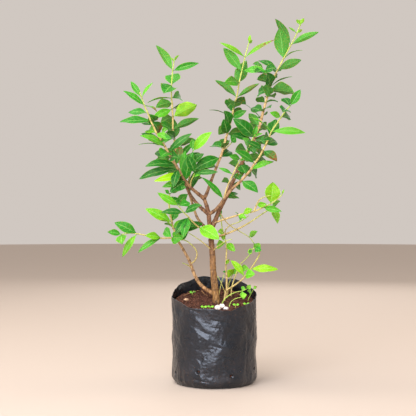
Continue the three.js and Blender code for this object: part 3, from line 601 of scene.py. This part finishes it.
def bark_material():
    material = new_material("bark", Specular_IOR_Level=0.3)
    g = Graph(material)
    age = g.attribute("age")
    streaks = g.add("ShaderNodeMapping", {
        "Vector": g.add("ShaderNodeTexCoord").outputs["Object"], "Scale": (1.0, 1.0, 0.25)})
    grain = g.noise(420.0, 5.0, 0.65, streaks.outputs["Vector"])
    colour = g.ramp(age, [(0.0, "#a2bd50"), (0.1, "#c0b067"), (0.3, "#d8b27a"),
                          (0.6, "#a57647"), (1.0, "#916939")])
    dark_grain = g.math("MULTIPLY", g.range(grain, 0.4, 0.62, 0.0, 0.85),
                        g.range(age, 0.1, 0.6, 0.3, 1.0))
    colour = g.blend(dark_grain, colour, linear("#3f2616"))
    spots = g.math("MULTIPLY", g.range(g.noise(230.0, 2.0), 0.6, 0.66), g.range(age, 0.2, 0.5))
    colour = g.blend(g.math("MULTIPLY", spots, 0.7), colour, linear("#2e1a10"))
    colour = g.blend(g.range(g.noise(160.0, 4.0), 0.55, 0.75, 0.0, 0.4), colour, linear("#c9a878"))
    height = g.add("ShaderNodeSeparateXYZ", {0: g.add("ShaderNodeTexCoord").outputs["Object"]})
    lower = g.math("MULTIPLY", g.range(height.outputs["Z"], 0.14, 0.2),
                   g.range(height.outputs["Z"], 0.4, 0.3))
    woody = g.math("MULTIPLY", g.range(age, 0.08, 0.4), g.range(age, 1.0, 0.85, 0.35, 1.0))
    lower = g.math("MULTIPLY", g.math("MULTIPLY", lower, woody), 0.6)
    colour = g.blend(lower, colour, linear("#5d3a2c"))
    colour = g.blend(g.math("MULTIPLY", g.attribute("scar"), 0.8), colour, linear("#3a2314"))
    g.finish(colour, g.range(grain, 0.3, 0.7, 0.5, 0.85))
    g.bump(grain, 0.5, 0.0006)
    return material


def film_material():
    material = new_material("bag_film", Specular_IOR_Level=0.6,
                            Specular_Tint=linear("#e4ebf8"))
    g = Graph(material)
    soft = g.noise(26.0, 4.0)
    colour = g.ramp(soft, [(0.3, "#0a0c10"), (0.7, "#13171d")])
    dust = g.attribute("dust")
    speck = g.range(g.noise(800.0, 2.0), 0.66, 0.72)
    dusty = g.math("MULTIPLY", dust, g.range(g.noise(60.0, 5.0), 0.42, 0.7))
    colour = g.blend(g.math("MULTIPLY", dusty, 0.2), colour, linear("#46352c"))
    colour = g.blend(g.math("MULTIPLY", speck, g.math("MULTIPLY", dust, 0.6)), colour,
                     linear("#9c6a45"))
    # Partly real and partly painted shade: the drain holes are only dents, coloured near-black
    # brown as the soil seen through a hole in shade.
    colour = g.blend(g.attribute("hole"), colour, linear("#0b0503"))
    rough = g.range(g.noise(90.0, 5.0), 0.3, 0.7, 0.22, 0.36)
    g.finish(colour, g.math("ADD", rough, g.math("MULTIPLY", dusty, 0.2)))
    g.bump(g.noise(240.0, 4.0), 0.12, 0.0008)
    return material


def soil_material():
    material = new_material("soil", Roughness=0.95, Specular_IOR_Level=0.2)
    g = Graph(material)
    colour = g.ramp(g.noise(330.0, 6.0, 0.65), [(0.3, "#22120d"), (0.5, "#47291e"),
                                                (0.68, "#6f4734")])
    colour = g.blend(g.range(g.noise(60.0), 0.5, 0.75, 0.0, 0.5), colour, linear("#2b1812"))
    g.finish(colour)
    g.bump(g.noise(900.0, 5.0), 0.6, 0.001)
    return material


def plain_material(name, low, high, scale, roughness):
    material = new_material(name, Roughness=roughness, Specular_IOR_Level=0.3)
    g = Graph(material)
    grain = g.noise(scale, 5.0, 0.6)
    g.finish(g.ramp(grain, [(0.35, low), (0.65, high)]))
    g.bump(grain, 0.4, 0.0006)
    return material


# ---- stems and leaves ----

def catmull_rom(points):
    """A smooth route through the points: (place, how far along in points)."""
    route = []
    count = len(points)
    for i in range(count - 1):
        before = points[max(0, i - 1)]
        after = points[min(count - 1, i + 2)]
        a, b = points[i], points[i + 1]
        pieces = max(2, round((b - a).length / STEM_STEP))
        for k in range(pieces):
            t = k / pieces
            place = 0.5 * ((2 * a) + (b - before) * t
                           + (2 * before - 5 * a + 4 * b - after) * t * t
                           + (3 * a - before - 3 * b + after) * t ** 3)
            route.append((place, i + t))
    route.append((points[-1].copy(), count - 1.0))
    return route


def direction_at(points, i):
    return (points[min(len(points) - 1, i + 1)] - points[max(0, i - 1)]).normalized()


def add_tube(parts, places, radii, values):
    """A closed round tube through the places, with its own radius at each."""
    across = Vector((1.0, 0.3, 0.1))
    rings = []
    for i, place in enumerate(places):
        along = direction_at(places, i)
        across = (across - along * across.dot(along)).normalized()
        up = along.cross(across)
        ring = []
        for x, y in circle(1.0, STEM_SIDES):
            out = across * x + up * y
            grain = noise.noise(Vector((place.x, place.y, place.z * 0.4)) * 0.5 + out * 1.6)
            radius = radii[i] * (1 + 0.13 * grain)
            ring.append(parts.point(place + out * radius, **values[i]))
        rings.append(ring)
    parts.face(tuple(reversed(rings[0])))
    tip = parts.point(places[-1] + along * radii[-1] * 0.7, **values[-1])
    parts.join_rings([[tip]] + rings[::-1], STEM_SIDES)


def stem_age(radius, height_share):
    """0 for a green tip and 1 for old brown wood."""
    return min(1.0, smooth(0.6, 4.6, radius) * 0.85 + 0.16 * (1 - height_share))


def add_stem(parts, points, start_radius, end_radius, flare, green=0.0):
    """A stem that tapers, swells at its nodes and flares at its foot."""
    length = len(points) - 1
    places, radii, values = [], [], []
    for place, along in catmull_rom(points):
        share = along / length
        radius = mix(start_radius, end_radius, share)
        to_node = abs(along - round(along)) * (points[1] - points[0]).length
        swell = 0.13 * math.exp(-(to_node / 1.4) ** 2) if radius < 4 else 0.07
        collar = flare * math.exp(-share * length * 1.3)
        places.append(place)
        radii.append(radius * (1 + swell + collar))
        scar = math.exp(-(to_node / 0.8) ** 2) * (0.75 if radius > 1.2 else 0.35)
        values.append({"age": stem_age(radius, share) * (1 - green), "scar": scar})
    add_tube(parts, places, radii, values)


def blade_normal(along, shoot, tilt, behind):
    """Up and outwards, to the front or to the back, and towards the shoot's tip."""
    outwards = math.cos(tilt) if behind else -math.cos(tilt)
    facing = Vector((0.0, outwards, math.sin(tilt))) + shoot * 0.25
    return (facing - along * facing.dot(along)).normalized()


def blade_half_width(t):
    """Half the blade's width at t, from 0 at its foot to 1 at its pointed tip."""
    return math.sin(math.pi * t ** 0.94) ** mix(0.95, 0.8, t)


def blade_form(length, width, rng):
    """One leaf's own bow, droop, fold, curl, twist and wavy margin."""
    return {
        "bow": rng.uniform(0.05, 0.12) * length,
        "droop": rng.uniform(0.0, 0.05) * length,
        "fold": rng.uniform(0.12, 0.32),
        "curl": rng.uniform(-0.1, 0.16),
        "twist": rng.uniform(-0.35, 0.35),
        "wave": rng.uniform(0.02, 0.055) * width,
        "waves": rng.uniform(1.2, 2.6),
        "phase": rng.uniform(0, 6.28),
    }


def blade_rise(form, width, half, blade, t, share):
    """How far a blade's face stands up at one place across it, from -1 to 1."""
    edge = abs(share)
    veins = 0.5 + 0.5 * math.cos(2 * math.pi * SIDE_VEINS * (blade - 0.2 * edge))
    quilt = VEIN_QUILT * width * veins * edge * (1 - edge) * 4 * smooth(0, 0.15, blade)
    ripple = math.sin(form["waves"] * 2 * math.pi * t + form["phase"] + share * 0.8)
    trough = half * (form["fold"] * edge ** 1.2 + form["curl"] * edge * edge)
    return trough + form["wave"] * ripple * edge ** 2.5 + quilt


def add_leaf(parts, base, reach, width, tint, tilt, shoot, rng, burn):
    length = reach.length
    along = reach.normalized()
    behind = base.y + reach.y > REAR_LEAVES and rng.random() < REAR_SHARE
    normal = blade_normal(along, shoot, tilt + behind * math.radians(REAR_TILT), behind)
    side = normal.cross(along)
    if tilt < math.radians(EDGE):
        width /= max(LEAST_FACING, abs(normal.y))
    stalk = min(STALK_SHARE, STALK_LENGTH / length)
    form = blade_form(length, width, rng)
    vary = rng.random()
    values = {"tint": min(1.0, max(0.0, tint + rng.uniform(-0.13, 0.13))), "vary": vary}
    grids = {1: [], -1: []}
    for r in range(LEAF_ROWS + 1):
        t = r / LEAF_ROWS
        blade = max(0.0, (t - stalk) / (1 - stalk))
        half = TIP_HALF_WIDTH
        if t < 1:
            half = max(STALK_HALF_WIDTH, width / 2 * blade_half_width(blade))
        lift = form["bow"] * 4 * t * (1 - t) - form["droop"] * (t ** 3 - t)
        centre = base + along * (t * length) + normal * lift
        turn = form["twist"] * t
        across = side * math.cos(turn) + normal * math.sin(turn)
        up = normal * math.cos(turn) - side * math.sin(turn)
        rib = mix(MIDRIB_FOOT, MIDRIB_TIP, smooth(0.0, 1.0, t))
        for sign in (1, -1):
            row = []
            for c in range(LEAF_COLUMNS + 1):
                if sign == -1 and c in (0, LEAF_COLUMNS):
                    row.append(grids[1][r][c])
                    continue
                share = 2 * c / LEAF_COLUMNS - 1
                thick = LEAF_THICKNESS / 2 * math.sqrt(max(0.0, 1 - share ** 4))
                if sign == -1:
                    thick += rib * math.exp(-(share * half / 0.5) ** 2)
                rise = blade_rise(form, width, half, blade, t, share)
                place = centre + across * (share * half) + up * (rise + sign * thick)
                row.append(parts.point(
                    place, under=float(sign == -1), burn=burn * smooth(0.3, 0.8, t), **values))
            grids[sign].append(row)
    add_blade_faces(parts, grids)


def add_blade_faces(parts, grids):
    """Joins a blade's upper and lower grids, closed at its foot and tip."""
    for sign, grid in grids.items():
        for r in range(LEAF_ROWS):
            for c in range(LEAF_COLUMNS):
                corners = [(r, c), (r, c + 1), (r + 1, c + 1), (r + 1, c)]
                if sign == -1:
                    corners.reverse()
                uv = [(column / LEAF_COLUMNS, row / LEAF_ROWS) for row, column in corners]
                parts.face(tuple(grid[row][column] for row, column in corners), BLADE_INDEX, uv)
    for r, upside in ((0, False), (LEAF_ROWS, True)):
        loop = grids[1][r] + list(reversed(grids[-1][r][1:-1]))
        parts.face(tuple(loop if upside else reversed(loop)), BLADE_INDEX)
    for c in (0, LEAF_COLUMNS):
        for r in range(LEAF_ROWS):
            parts.sharp.add(tuple(sorted((grids[1][r][c], grids[1][r + 1][c]))))


def make_shoot(name, shoot, materials, seed, green):
    parent, start_radius, end_radius, nodes = shoot
    rng = random.Random(seed)
    points = [Vector(node[0]) for node in nodes]
    parts = MeshParts()
    add_stem(parts, points, start_radius, end_radius, flare=0.45 if parent else 0.2, green=green)
    for i, node in enumerate(nodes):
        shoot_way = direction_at(points, i)
        for leaf in node[1:]:
            x, y, z, width, tint = leaf[:5]
            tilt = leaf[5] if len(leaf) > 5 else rng.uniform(*FACE_TILT)
            burn = 1.0 if rng.random() < BURNT_SHARE else 0.0
            add_leaf(parts, points[i], Vector((x, y, z)), width * LEAF_WIDEN, tint,
                     math.radians(tilt), shoot_way, rng, burn)
    parts.build(name + "_plant", materials, [name])


# ---- bag and soil ----

def by_angle(angle, front, side, back):
    backness = math.sin(angle)
    edge = back if backness > 0 else front
    return side + (edge - side) * abs(backness) ** 1.4


def rim_height(angle):
    wave = RIM_WAVE * math.sin(5 * angle + 1) * math.cos(2 * angle)
    nicks = 2.4 * noise.noise(Vector((math.cos(angle), math.sin(angle), 0)) * 4.5)
    return by_angle(angle, RIM_FRONT, RIM_SIDE, RIM_BACK) + wave + nicks


def soil_height(x, y):
    reach = min(1.0, math.hypot(x, y) / BAG_RADIUS)
    edge = SOIL_BACK if y > 0 else SOIL_FRONT
    slope = SOIL_MIDDLE + (edge - SOIL_MIDDLE) * abs(y) / BAG_RADIUS
    clods = 1.1 * math.sin(0.21 * x + 1) * math.cos(0.17 * y)
    return slope + SOIL_MOUND * (1 - reach) ** 2 + clods


# Creases in the film: (angle, height) at each end in degrees and mm, depth, half width.
CREASES = [
    ((-136, 120), (-114, 115), 0.8, 1.4),
    ((-92, 102), (-72, 98), 0.9, 1.3),
    ((-61, 108), (-52, 107), 0.8, 1.2),
    ((-96, 92), (-80, 89), 0.8, 1.4),
    ((-75, 84), (-56, 81), 0.9, 1.5),
    ((-79, 72), (-68, 70), 0.7, 1.2),
    ((-92, 64), (-82, 61), 0.8, 1.4),
    ((-85, 52), (-72, 48), 0.8, 1.4),
    ((-76, 50), (-60, 44), 0.8, 1.6),
    ((-67, 20), (-54, 15), 1.1, 2.0),
    ((-74, 8), (-58, 3), 1.2, 2.2),
    ((-140, 106), (-96, 70), -1.3, 7.0),
    ((-128, 96), (-92, 78), 1.0, 4.0),
    ((-60, 100), (-84, 60), 1.1, 5.0),
    ((-84, 66), (-60, 56), -1.2, 5.0),
    ((-40, 70), (-44, 20), 0.9, 2.4),
    ((-140, 60), (-126, 16), 0.6, 2.4),
    ((-118, 14), (-86, 8), 0.7, 1.6),
    ((-165, 118), (-150, 84), 1.1, 2.6),
    ((-30, 120), (-14, 96), 0.9, 2.2),
    ((-46, 100), (-24, 70), 0.7, 2.6),
    ((20, 128), (40, 100), 1.1, 2.4),
    ((60, 140), (96, 112), 1.2, 3.0),
    ((44, 96), (90, 84), 1.0, 1.6),
    ((100, 130), (128, 96), 1.0, 2.2),
    ((140, 118), (168, 90), 1.1, 2.4),
    ((30, 70), (70, 40), 0.9, 2.6),
    ((90, 60), (130, 24), 1.0, 2.2),
    ((-170, 60), (-150, 20), 0.8, 2.2),
    ((0, 60), (20, 20), 0.9, 2.2),
]


def crease_depth(angle, height):
    degrees = math.degrees(angle)
    depth = 0.0
    mm_per_degree = math.radians(1) * BAG_RADIUS
    for (a0, h0), (a1, h1), deep, half in CREASES:
        turn = (degrees - (a0 + a1) / 2 + 180) % 360 - 180
        x = turn * mm_per_degree
        y = height - (h0 + h1) / 2
        run_x = (a1 - a0) / 2 * mm_per_degree
        run_y = (h1 - h0) / 2
        run = math.hypot(run_x, run_y)
        lengthwise = (x * run_x + y * run_y) / run
        sideways = abs(x * run_y - y * run_x) / run
        if abs(lengthwise) > run * 1.4 or sideways > half * 4:
            continue
        fade = 1 - smooth(run * 0.6, run * 1.4, abs(lengthwise))
        depth += deep * fade * math.exp(-sideways / half)
    return depth


def film_bulge(angle, height):
    """How far the film stands in from a plain round bag, in mm."""
    out = Vector((math.cos(angle), math.sin(angle), 0))
    place = Vector((out.x * BAG_RADIUS, out.y * BAG_RADIUS, height))
    soft = noise.noise(place * 0.035) * 0.9
    folds = abs(noise.noise(Vector((place.x * 0.07, place.y * 0.07, place.z * 0.05)) + out)) * 1.5
    crinkle = abs(noise.noise(place * 0.19)) * 0.5 + abs(noise.noise(place * 0.42)) * 0.22
    near_foot = 1 - smooth(4, 40, height)
    pleats = near_foot * (0.7 * abs(math.sin(9 * angle + 2 * math.sin(3 * angle))) - 0.2)
    return crease_depth(angle, height) + folds * 0.9 + crinkle * 1.1 - soft * 2.2 + pleats - 0.9


def drain_hole(angle, height):
    """1 inside a punched hole and 0 outside it."""
    nearest = DRAIN_HOLE_RADIUS * 2
    for i in range(DRAIN_HOLE_COUNT):
        middle = (i + 0.5) / DRAIN_HOLE_COUNT * 2 * math.pi
        turn = (angle - middle + math.pi) % (2 * math.pi) - math.pi
        rise = height - DRAIN_HOLE_HEIGHT - (i % 2) * DRAIN_HOLE_STAGGER
        nearest = min(nearest, math.hypot(turn * BAG_RADIUS, rise))
    return smooth(DRAIN_HOLE_RADIUS * 1.15, DRAIN_HOLE_RADIUS * 0.75, nearest)


def bag_radius(angle, height):
    base = BAG_RADIUS
    if height < BAG_CORNER_HEIGHT:
        share = height / BAG_CORNER_HEIGHT
        round_out = math.sin(share * math.pi / 2) ** 0.8
        base = mix(BAG_FOOT_RADIUS, BAG_RADIUS, round_out)
    grip = smooth(0, 6, height)
    lip = RIM_LIP * smooth(8, 0, rim_height(angle) - height)
    hole = DRAIN_HOLE_DEPTH * drain_hole(angle, height)
    return base - film_bulge(angle, height) * grip + lip - hole


def bag_rings(angles):
    """The film's outside from its bottom to the rim, and its inside back down."""
    rings = []
    for r in range(1, BAG_FLOOR_ROWS + 1):
        rings.append([(BAG_FOOT_RADIUS * r / BAG_FLOOR_ROWS, 0.0)] * BAG_COLUMNS)
    for r in range(1, BAG_ROWS + 1):
        heights = [rim_height(a) * (r / BAG_ROWS) for a in angles]
        rings.append([(bag_radius(a, height), height) for a, height in zip(angles, heights)])
    for r in range(BAG_INNER_ROWS + 1):
        drop = BAG_INNER_DEPTH * (r / BAG_INNER_ROWS) ** 1.3
        heights = [rim_height(a) - drop for a in angles]
        rings.append([(bag_radius(a, height) - FILM_THICKNESS, height)
                      for a, height in zip(angles, heights)])
    rings.append([(bag_radius(a, BAG_INNER_FLOOR) - BAG_INNER_FLOOR_INSET, BAG_INNER_FLOOR)
                  for a in angles])
    return rings


def make_bag(material):
    parts = MeshParts()
    angles = [2 * math.pi * c / BAG_COLUMNS for c in range(BAG_COLUMNS)]
    rings = [[parts.point(Vector((0, 0, 0)), dust=0.8)]]
    for ring in bag_rings(angles):
        row = []
        for a, (radius, height) in zip(angles, ring):
            low = 1 - smooth(10, 60, height)
            top = smooth(24, 4, rim_height(a) - height)
            # The hole value marks the drain-hole dents, where the film's colour paints shaded
            # soil.
            row.append(parts.point(
                Vector((radius * math.cos(a), radius * math.sin(a), height)),
                dust=min(1.0, 0.25 + 0.6 * low + 0.5 * top), hole=drain_hole(a, height)))
        rings.append(row)
    rings.append([parts.point(Vector((0, 0, BAG_INNER_FLOOR)), dust=0.8)])
    parts.join_rings(rings[::-1], BAG_COLUMNS)
    parts.build("nursery_bag", [material], ["grow_bag"])


def soil_top(x, y):
    """The soil's surface, with its clods and crumbs."""
    place = Vector((x, y, 0))
    clods = noise.noise(place * 0.16) * 1.2 + noise.noise(place * 0.4) * 0.9
    crumbs = abs(noise.noise(place * 0.9)) * 1.1 + noise.noise(place * 1.9) * 0.35
    return soil_height(x, y) + clods + crumbs - 0.3


def add_crumb(parts, place, size, rng):
    """A rough little ball of earth."""
    squash = rng.uniform(0.6, 0.95)
    shift = Vector((rng.uniform(0, 9), rng.uniform(0, 9), 0))
    rings = []
    for row in ball_directions(CRUMB_ROWS, CRUMB_COLUMNS):
        ring = []
        for out in row:
            out.z *= squash
            rough = 1 + 0.35 * noise.noise(out * 1.7 + shift)
            ring.append(parts.point(place + out * size * rough))
        rings.append(ring)
    parts.join_rings(rings, CRUMB_COLUMNS)


def make_soil(material):
    parts = MeshParts()
    edge = BAG_RADIUS - SOIL_GAP
    rings = [[parts.point(Vector((0, 0, soil_top(0, 0))))]]
    for r in range(1, SOIL_RINGS + 1):
        around = circle(edge * r / SOIL_RINGS, SOIL_COLUMNS)
        rings.append([parts.point(Vector((x, y, soil_top(x, y)))) for x, y in around])
    for inset, height in SOIL_BELOW:
        around = circle(edge - inset, SOIL_COLUMNS)
        rings.append([parts.point(Vector((x, y, height))) for x, y in around])
    rings.append([parts.point(Vector((0, 0, height)))])
    parts.join_rings(rings, SOIL_COLUMNS)
    rng = random.Random(11)
    for _ in range(CRUMB_COUNT):
        angle = rng.uniform(0, 2 * math.pi)
        radius = (edge - 2) * math.sqrt(rng.random())
        x, y = radius * math.cos(angle), radius * math.sin(angle)
        size = rng.choice(CRUMB_SIZES)
        add_crumb(parts, Vector((x, y, soil_top(x, y) + size * 0.3)), size, rng)
    parts.build("soil_crumbs", [material], ["soil"])


# ---- loose things on the soil ----

def make_stone(name, stone, materials):
    (x, y), half, turn, kind = stone
    cos, sin = math.cos(math.radians(turn)), math.sin(math.radians(turn))
    ground = soil_height(x, y) + half[2] * STONE_LIFT
    parts = MeshParts()
    rings = []
    for row in ball_directions(STONE_ROWS, STONE_COLUMNS):
        ring = []
        for out in row:
            rough = 1 + 0.22 * noise.noise(out * 1.7 + Vector((x, y, 0)))
            rough += 0.12 * noise.noise(out * 4.5)
            local = Vector((out.x * half[0], out.y * half[1], out.z * half[2])) * rough
            ring.append(parts.point(Vector((
                x + local.x * cos - local.y * sin,
                y + local.x * sin + local.y * cos,
                ground + local.z))))
        rings.append(ring)
    parts.join_rings(rings, STONE_COLUMNS)
    parts.build(name + "_stone", [materials[kind]], [name])


def make_fallen_twig(name, route, material):
    lift = FALLEN_TWIG_RADIUS * 0.6 + 0.5
    points = [Vector((x, y, soil_height(x, y) + lift)) for x, y in route]
    parts = MeshParts()
    add_stem(parts, points, FALLEN_TWIG_RADIUS, FALLEN_TWIG_RADIUS * 0.7, flare=0.0)
    parts.build(name + "_twig", [material], [name])


def seedling(x, y):
    ground = soil_height(x, y)
    return (None, SEEDLING_RADIUS, SEEDLING_RADIUS * 0.8, [
        ((x, y, ground - SEEDLING_DEPTH),),
        ((x, y, ground),),
        ((x + 1, y - 1, ground + SEEDLING_HEIGHT),
         (SEEDLING_SPREAD, -1, 1, SEEDLING_WIDTH, YOUNG),
         (-SEEDLING_SPREAD, -1, 1, SEEDLING_WIDTH, YOUNG)),
    ])


# ---- the stage, in metres ----

FLOOR_RADIUS = 6.0
FLOOR_THICKNESS = 0.02
FLOOR_GAP = 0.0002
SKY_COLOUR, SKY_STRENGTH = "#faf0e8", 0.66
SUN_STRENGTH, SUN_ANGLE, SUN_TURN = 0.9, 30, (28, -24, 0)
LIGHT_TARGET = (0, 0, 0.28)
# name: (place, size, power, colour)
LIGHTS = {
    "roof": ((-0.6, -0.1, 1.8), 1.2, 18, "#fffaf2"),
    "front_window": ((-0.4, -1.5, 0.75), 1.4, 50, "#f2f6ff"),
    "left_window": ((-1.7, 0.3, 0.9), 0.9, 9, "#fff4e6"),
    "right_window": ((1.6, 0.4, 0.8), 0.9, 9, "#ffefdf"),
    "back_window": ((0.3, 1.8, 1.0), 1.2, 10, "#ffffff"),
}
CAMERA_PLACE = (-0.0099, -1.538, 0.268)
CAMERA_LENS = 86.54
CAMERA_SENSOR = 36.0
CAMERA_REACH = 30.0


def add_floor():
    bpy.ops.mesh.primitive_cylinder_add(
        vertices=128, radius=FLOOR_RADIUS, depth=FLOOR_THICKNESS,
        location=(0, 0, -FLOOR_THICKNESS / 2 - FLOOR_GAP))
    floor = bpy.context.object
    floor.name = "pale_floor"
    floor.data.materials.append(
        new_material("pale_floor", Base_Color=linear("#b3a498"), Roughness=0.85))


def add_sky():
    world = bpy.data.worlds.new("pale_world")
    world.use_nodes = True
    background = world.node_tree.nodes["Background"]
    background.inputs["Color"].default_value = linear(SKY_COLOUR)
    background.inputs["Strength"].default_value = SKY_STRENGTH
    bpy.context.scene.world = world
    bpy.context.scene.view_settings.view_transform = "Standard"
    data = bpy.data.lights.new("sky", "SUN")
    data.energy = SUN_STRENGTH
    data.angle = math.radians(SUN_ANGLE)
    add_object("sky", data).rotation_euler = [math.radians(turn) for turn in SUN_TURN]


def add_light(name, place, size, power, colour):
    data = bpy.data.lights.new(name, "AREA")
    data.size = size
    data.energy = power
    data.color = linear(colour)[:3]
    light = add_object(name, data)
    light.location = place
    light.visible_camera = False
    aim = Vector(LIGHT_TARGET) - Vector(place)
    light.rotation_euler = aim.to_track_quat("-Z", "Y").to_euler()


def add_camera():
    data = bpy.data.cameras.new("camera")
    data.lens = CAMERA_LENS
    data.sensor_width = CAMERA_SENSOR
    data.clip_end = CAMERA_REACH
    camera = add_object("camera", data)
    camera.location = CAMERA_PLACE
    camera.rotation_euler = (math.pi / 2, 0, 0)
    bpy.context.scene.camera = camera


# ---- make everything ----

def main():
    add_floor()
    add_sky()
    for name, light in LIGHTS.items():
        add_light(name, *light)
    add_camera()
    bark = bark_material()
    leaf = leaf_material("henna_leaf", [
        (0.0, "#0c5c14"), (0.33, "#2a861a"), (0.66, "#5caa1c"), (1.0, "#8abf0c")], "#6aa84c")
    weed = leaf_material("weed_leaf", [
        (0.0, "#4f9a2c"), (1.0, "#86cf34")], "#a5cc7c")
    dry = plain_material("dry_twig", "#4a2f1e", "#9a7048", 300.0, 0.85)
    stones = {
        "pale_stone": plain_material("pale_stone", "#b9a596", "#f1e8e2", 350.0, 0.8),
        "tan_stone": plain_material("tan_stone", "#94704f", "#cda888", 300.0, 0.7),
    }
    make_bag(film_material())
    make_soil(soil_material())
    for name, stone in STONES.items():
        make_stone(name, stone, stones)
    for name, route in FALLEN_TWIGS.items():
        make_fallen_twig(name, route, dry)
    seedlings = {f"seedling_{i + 1}": seedling(*place) for i, place in enumerate(SEEDLING_PLACES)}
    # Each group's shoots, blade material, first random seed and greenness of stem.
    groups = [(SHOOTS, leaf, 100, 0.0), (WEEDS, weed, 300, 1.0), (seedlings, weed, 400, 1.0)]
    for shoots, blade, seed, green in groups:
        for i, (name, shoot) in enumerate(shoots.items()):
            make_shoot(name, shoot, [bark, blade], seed + i, green)


main()
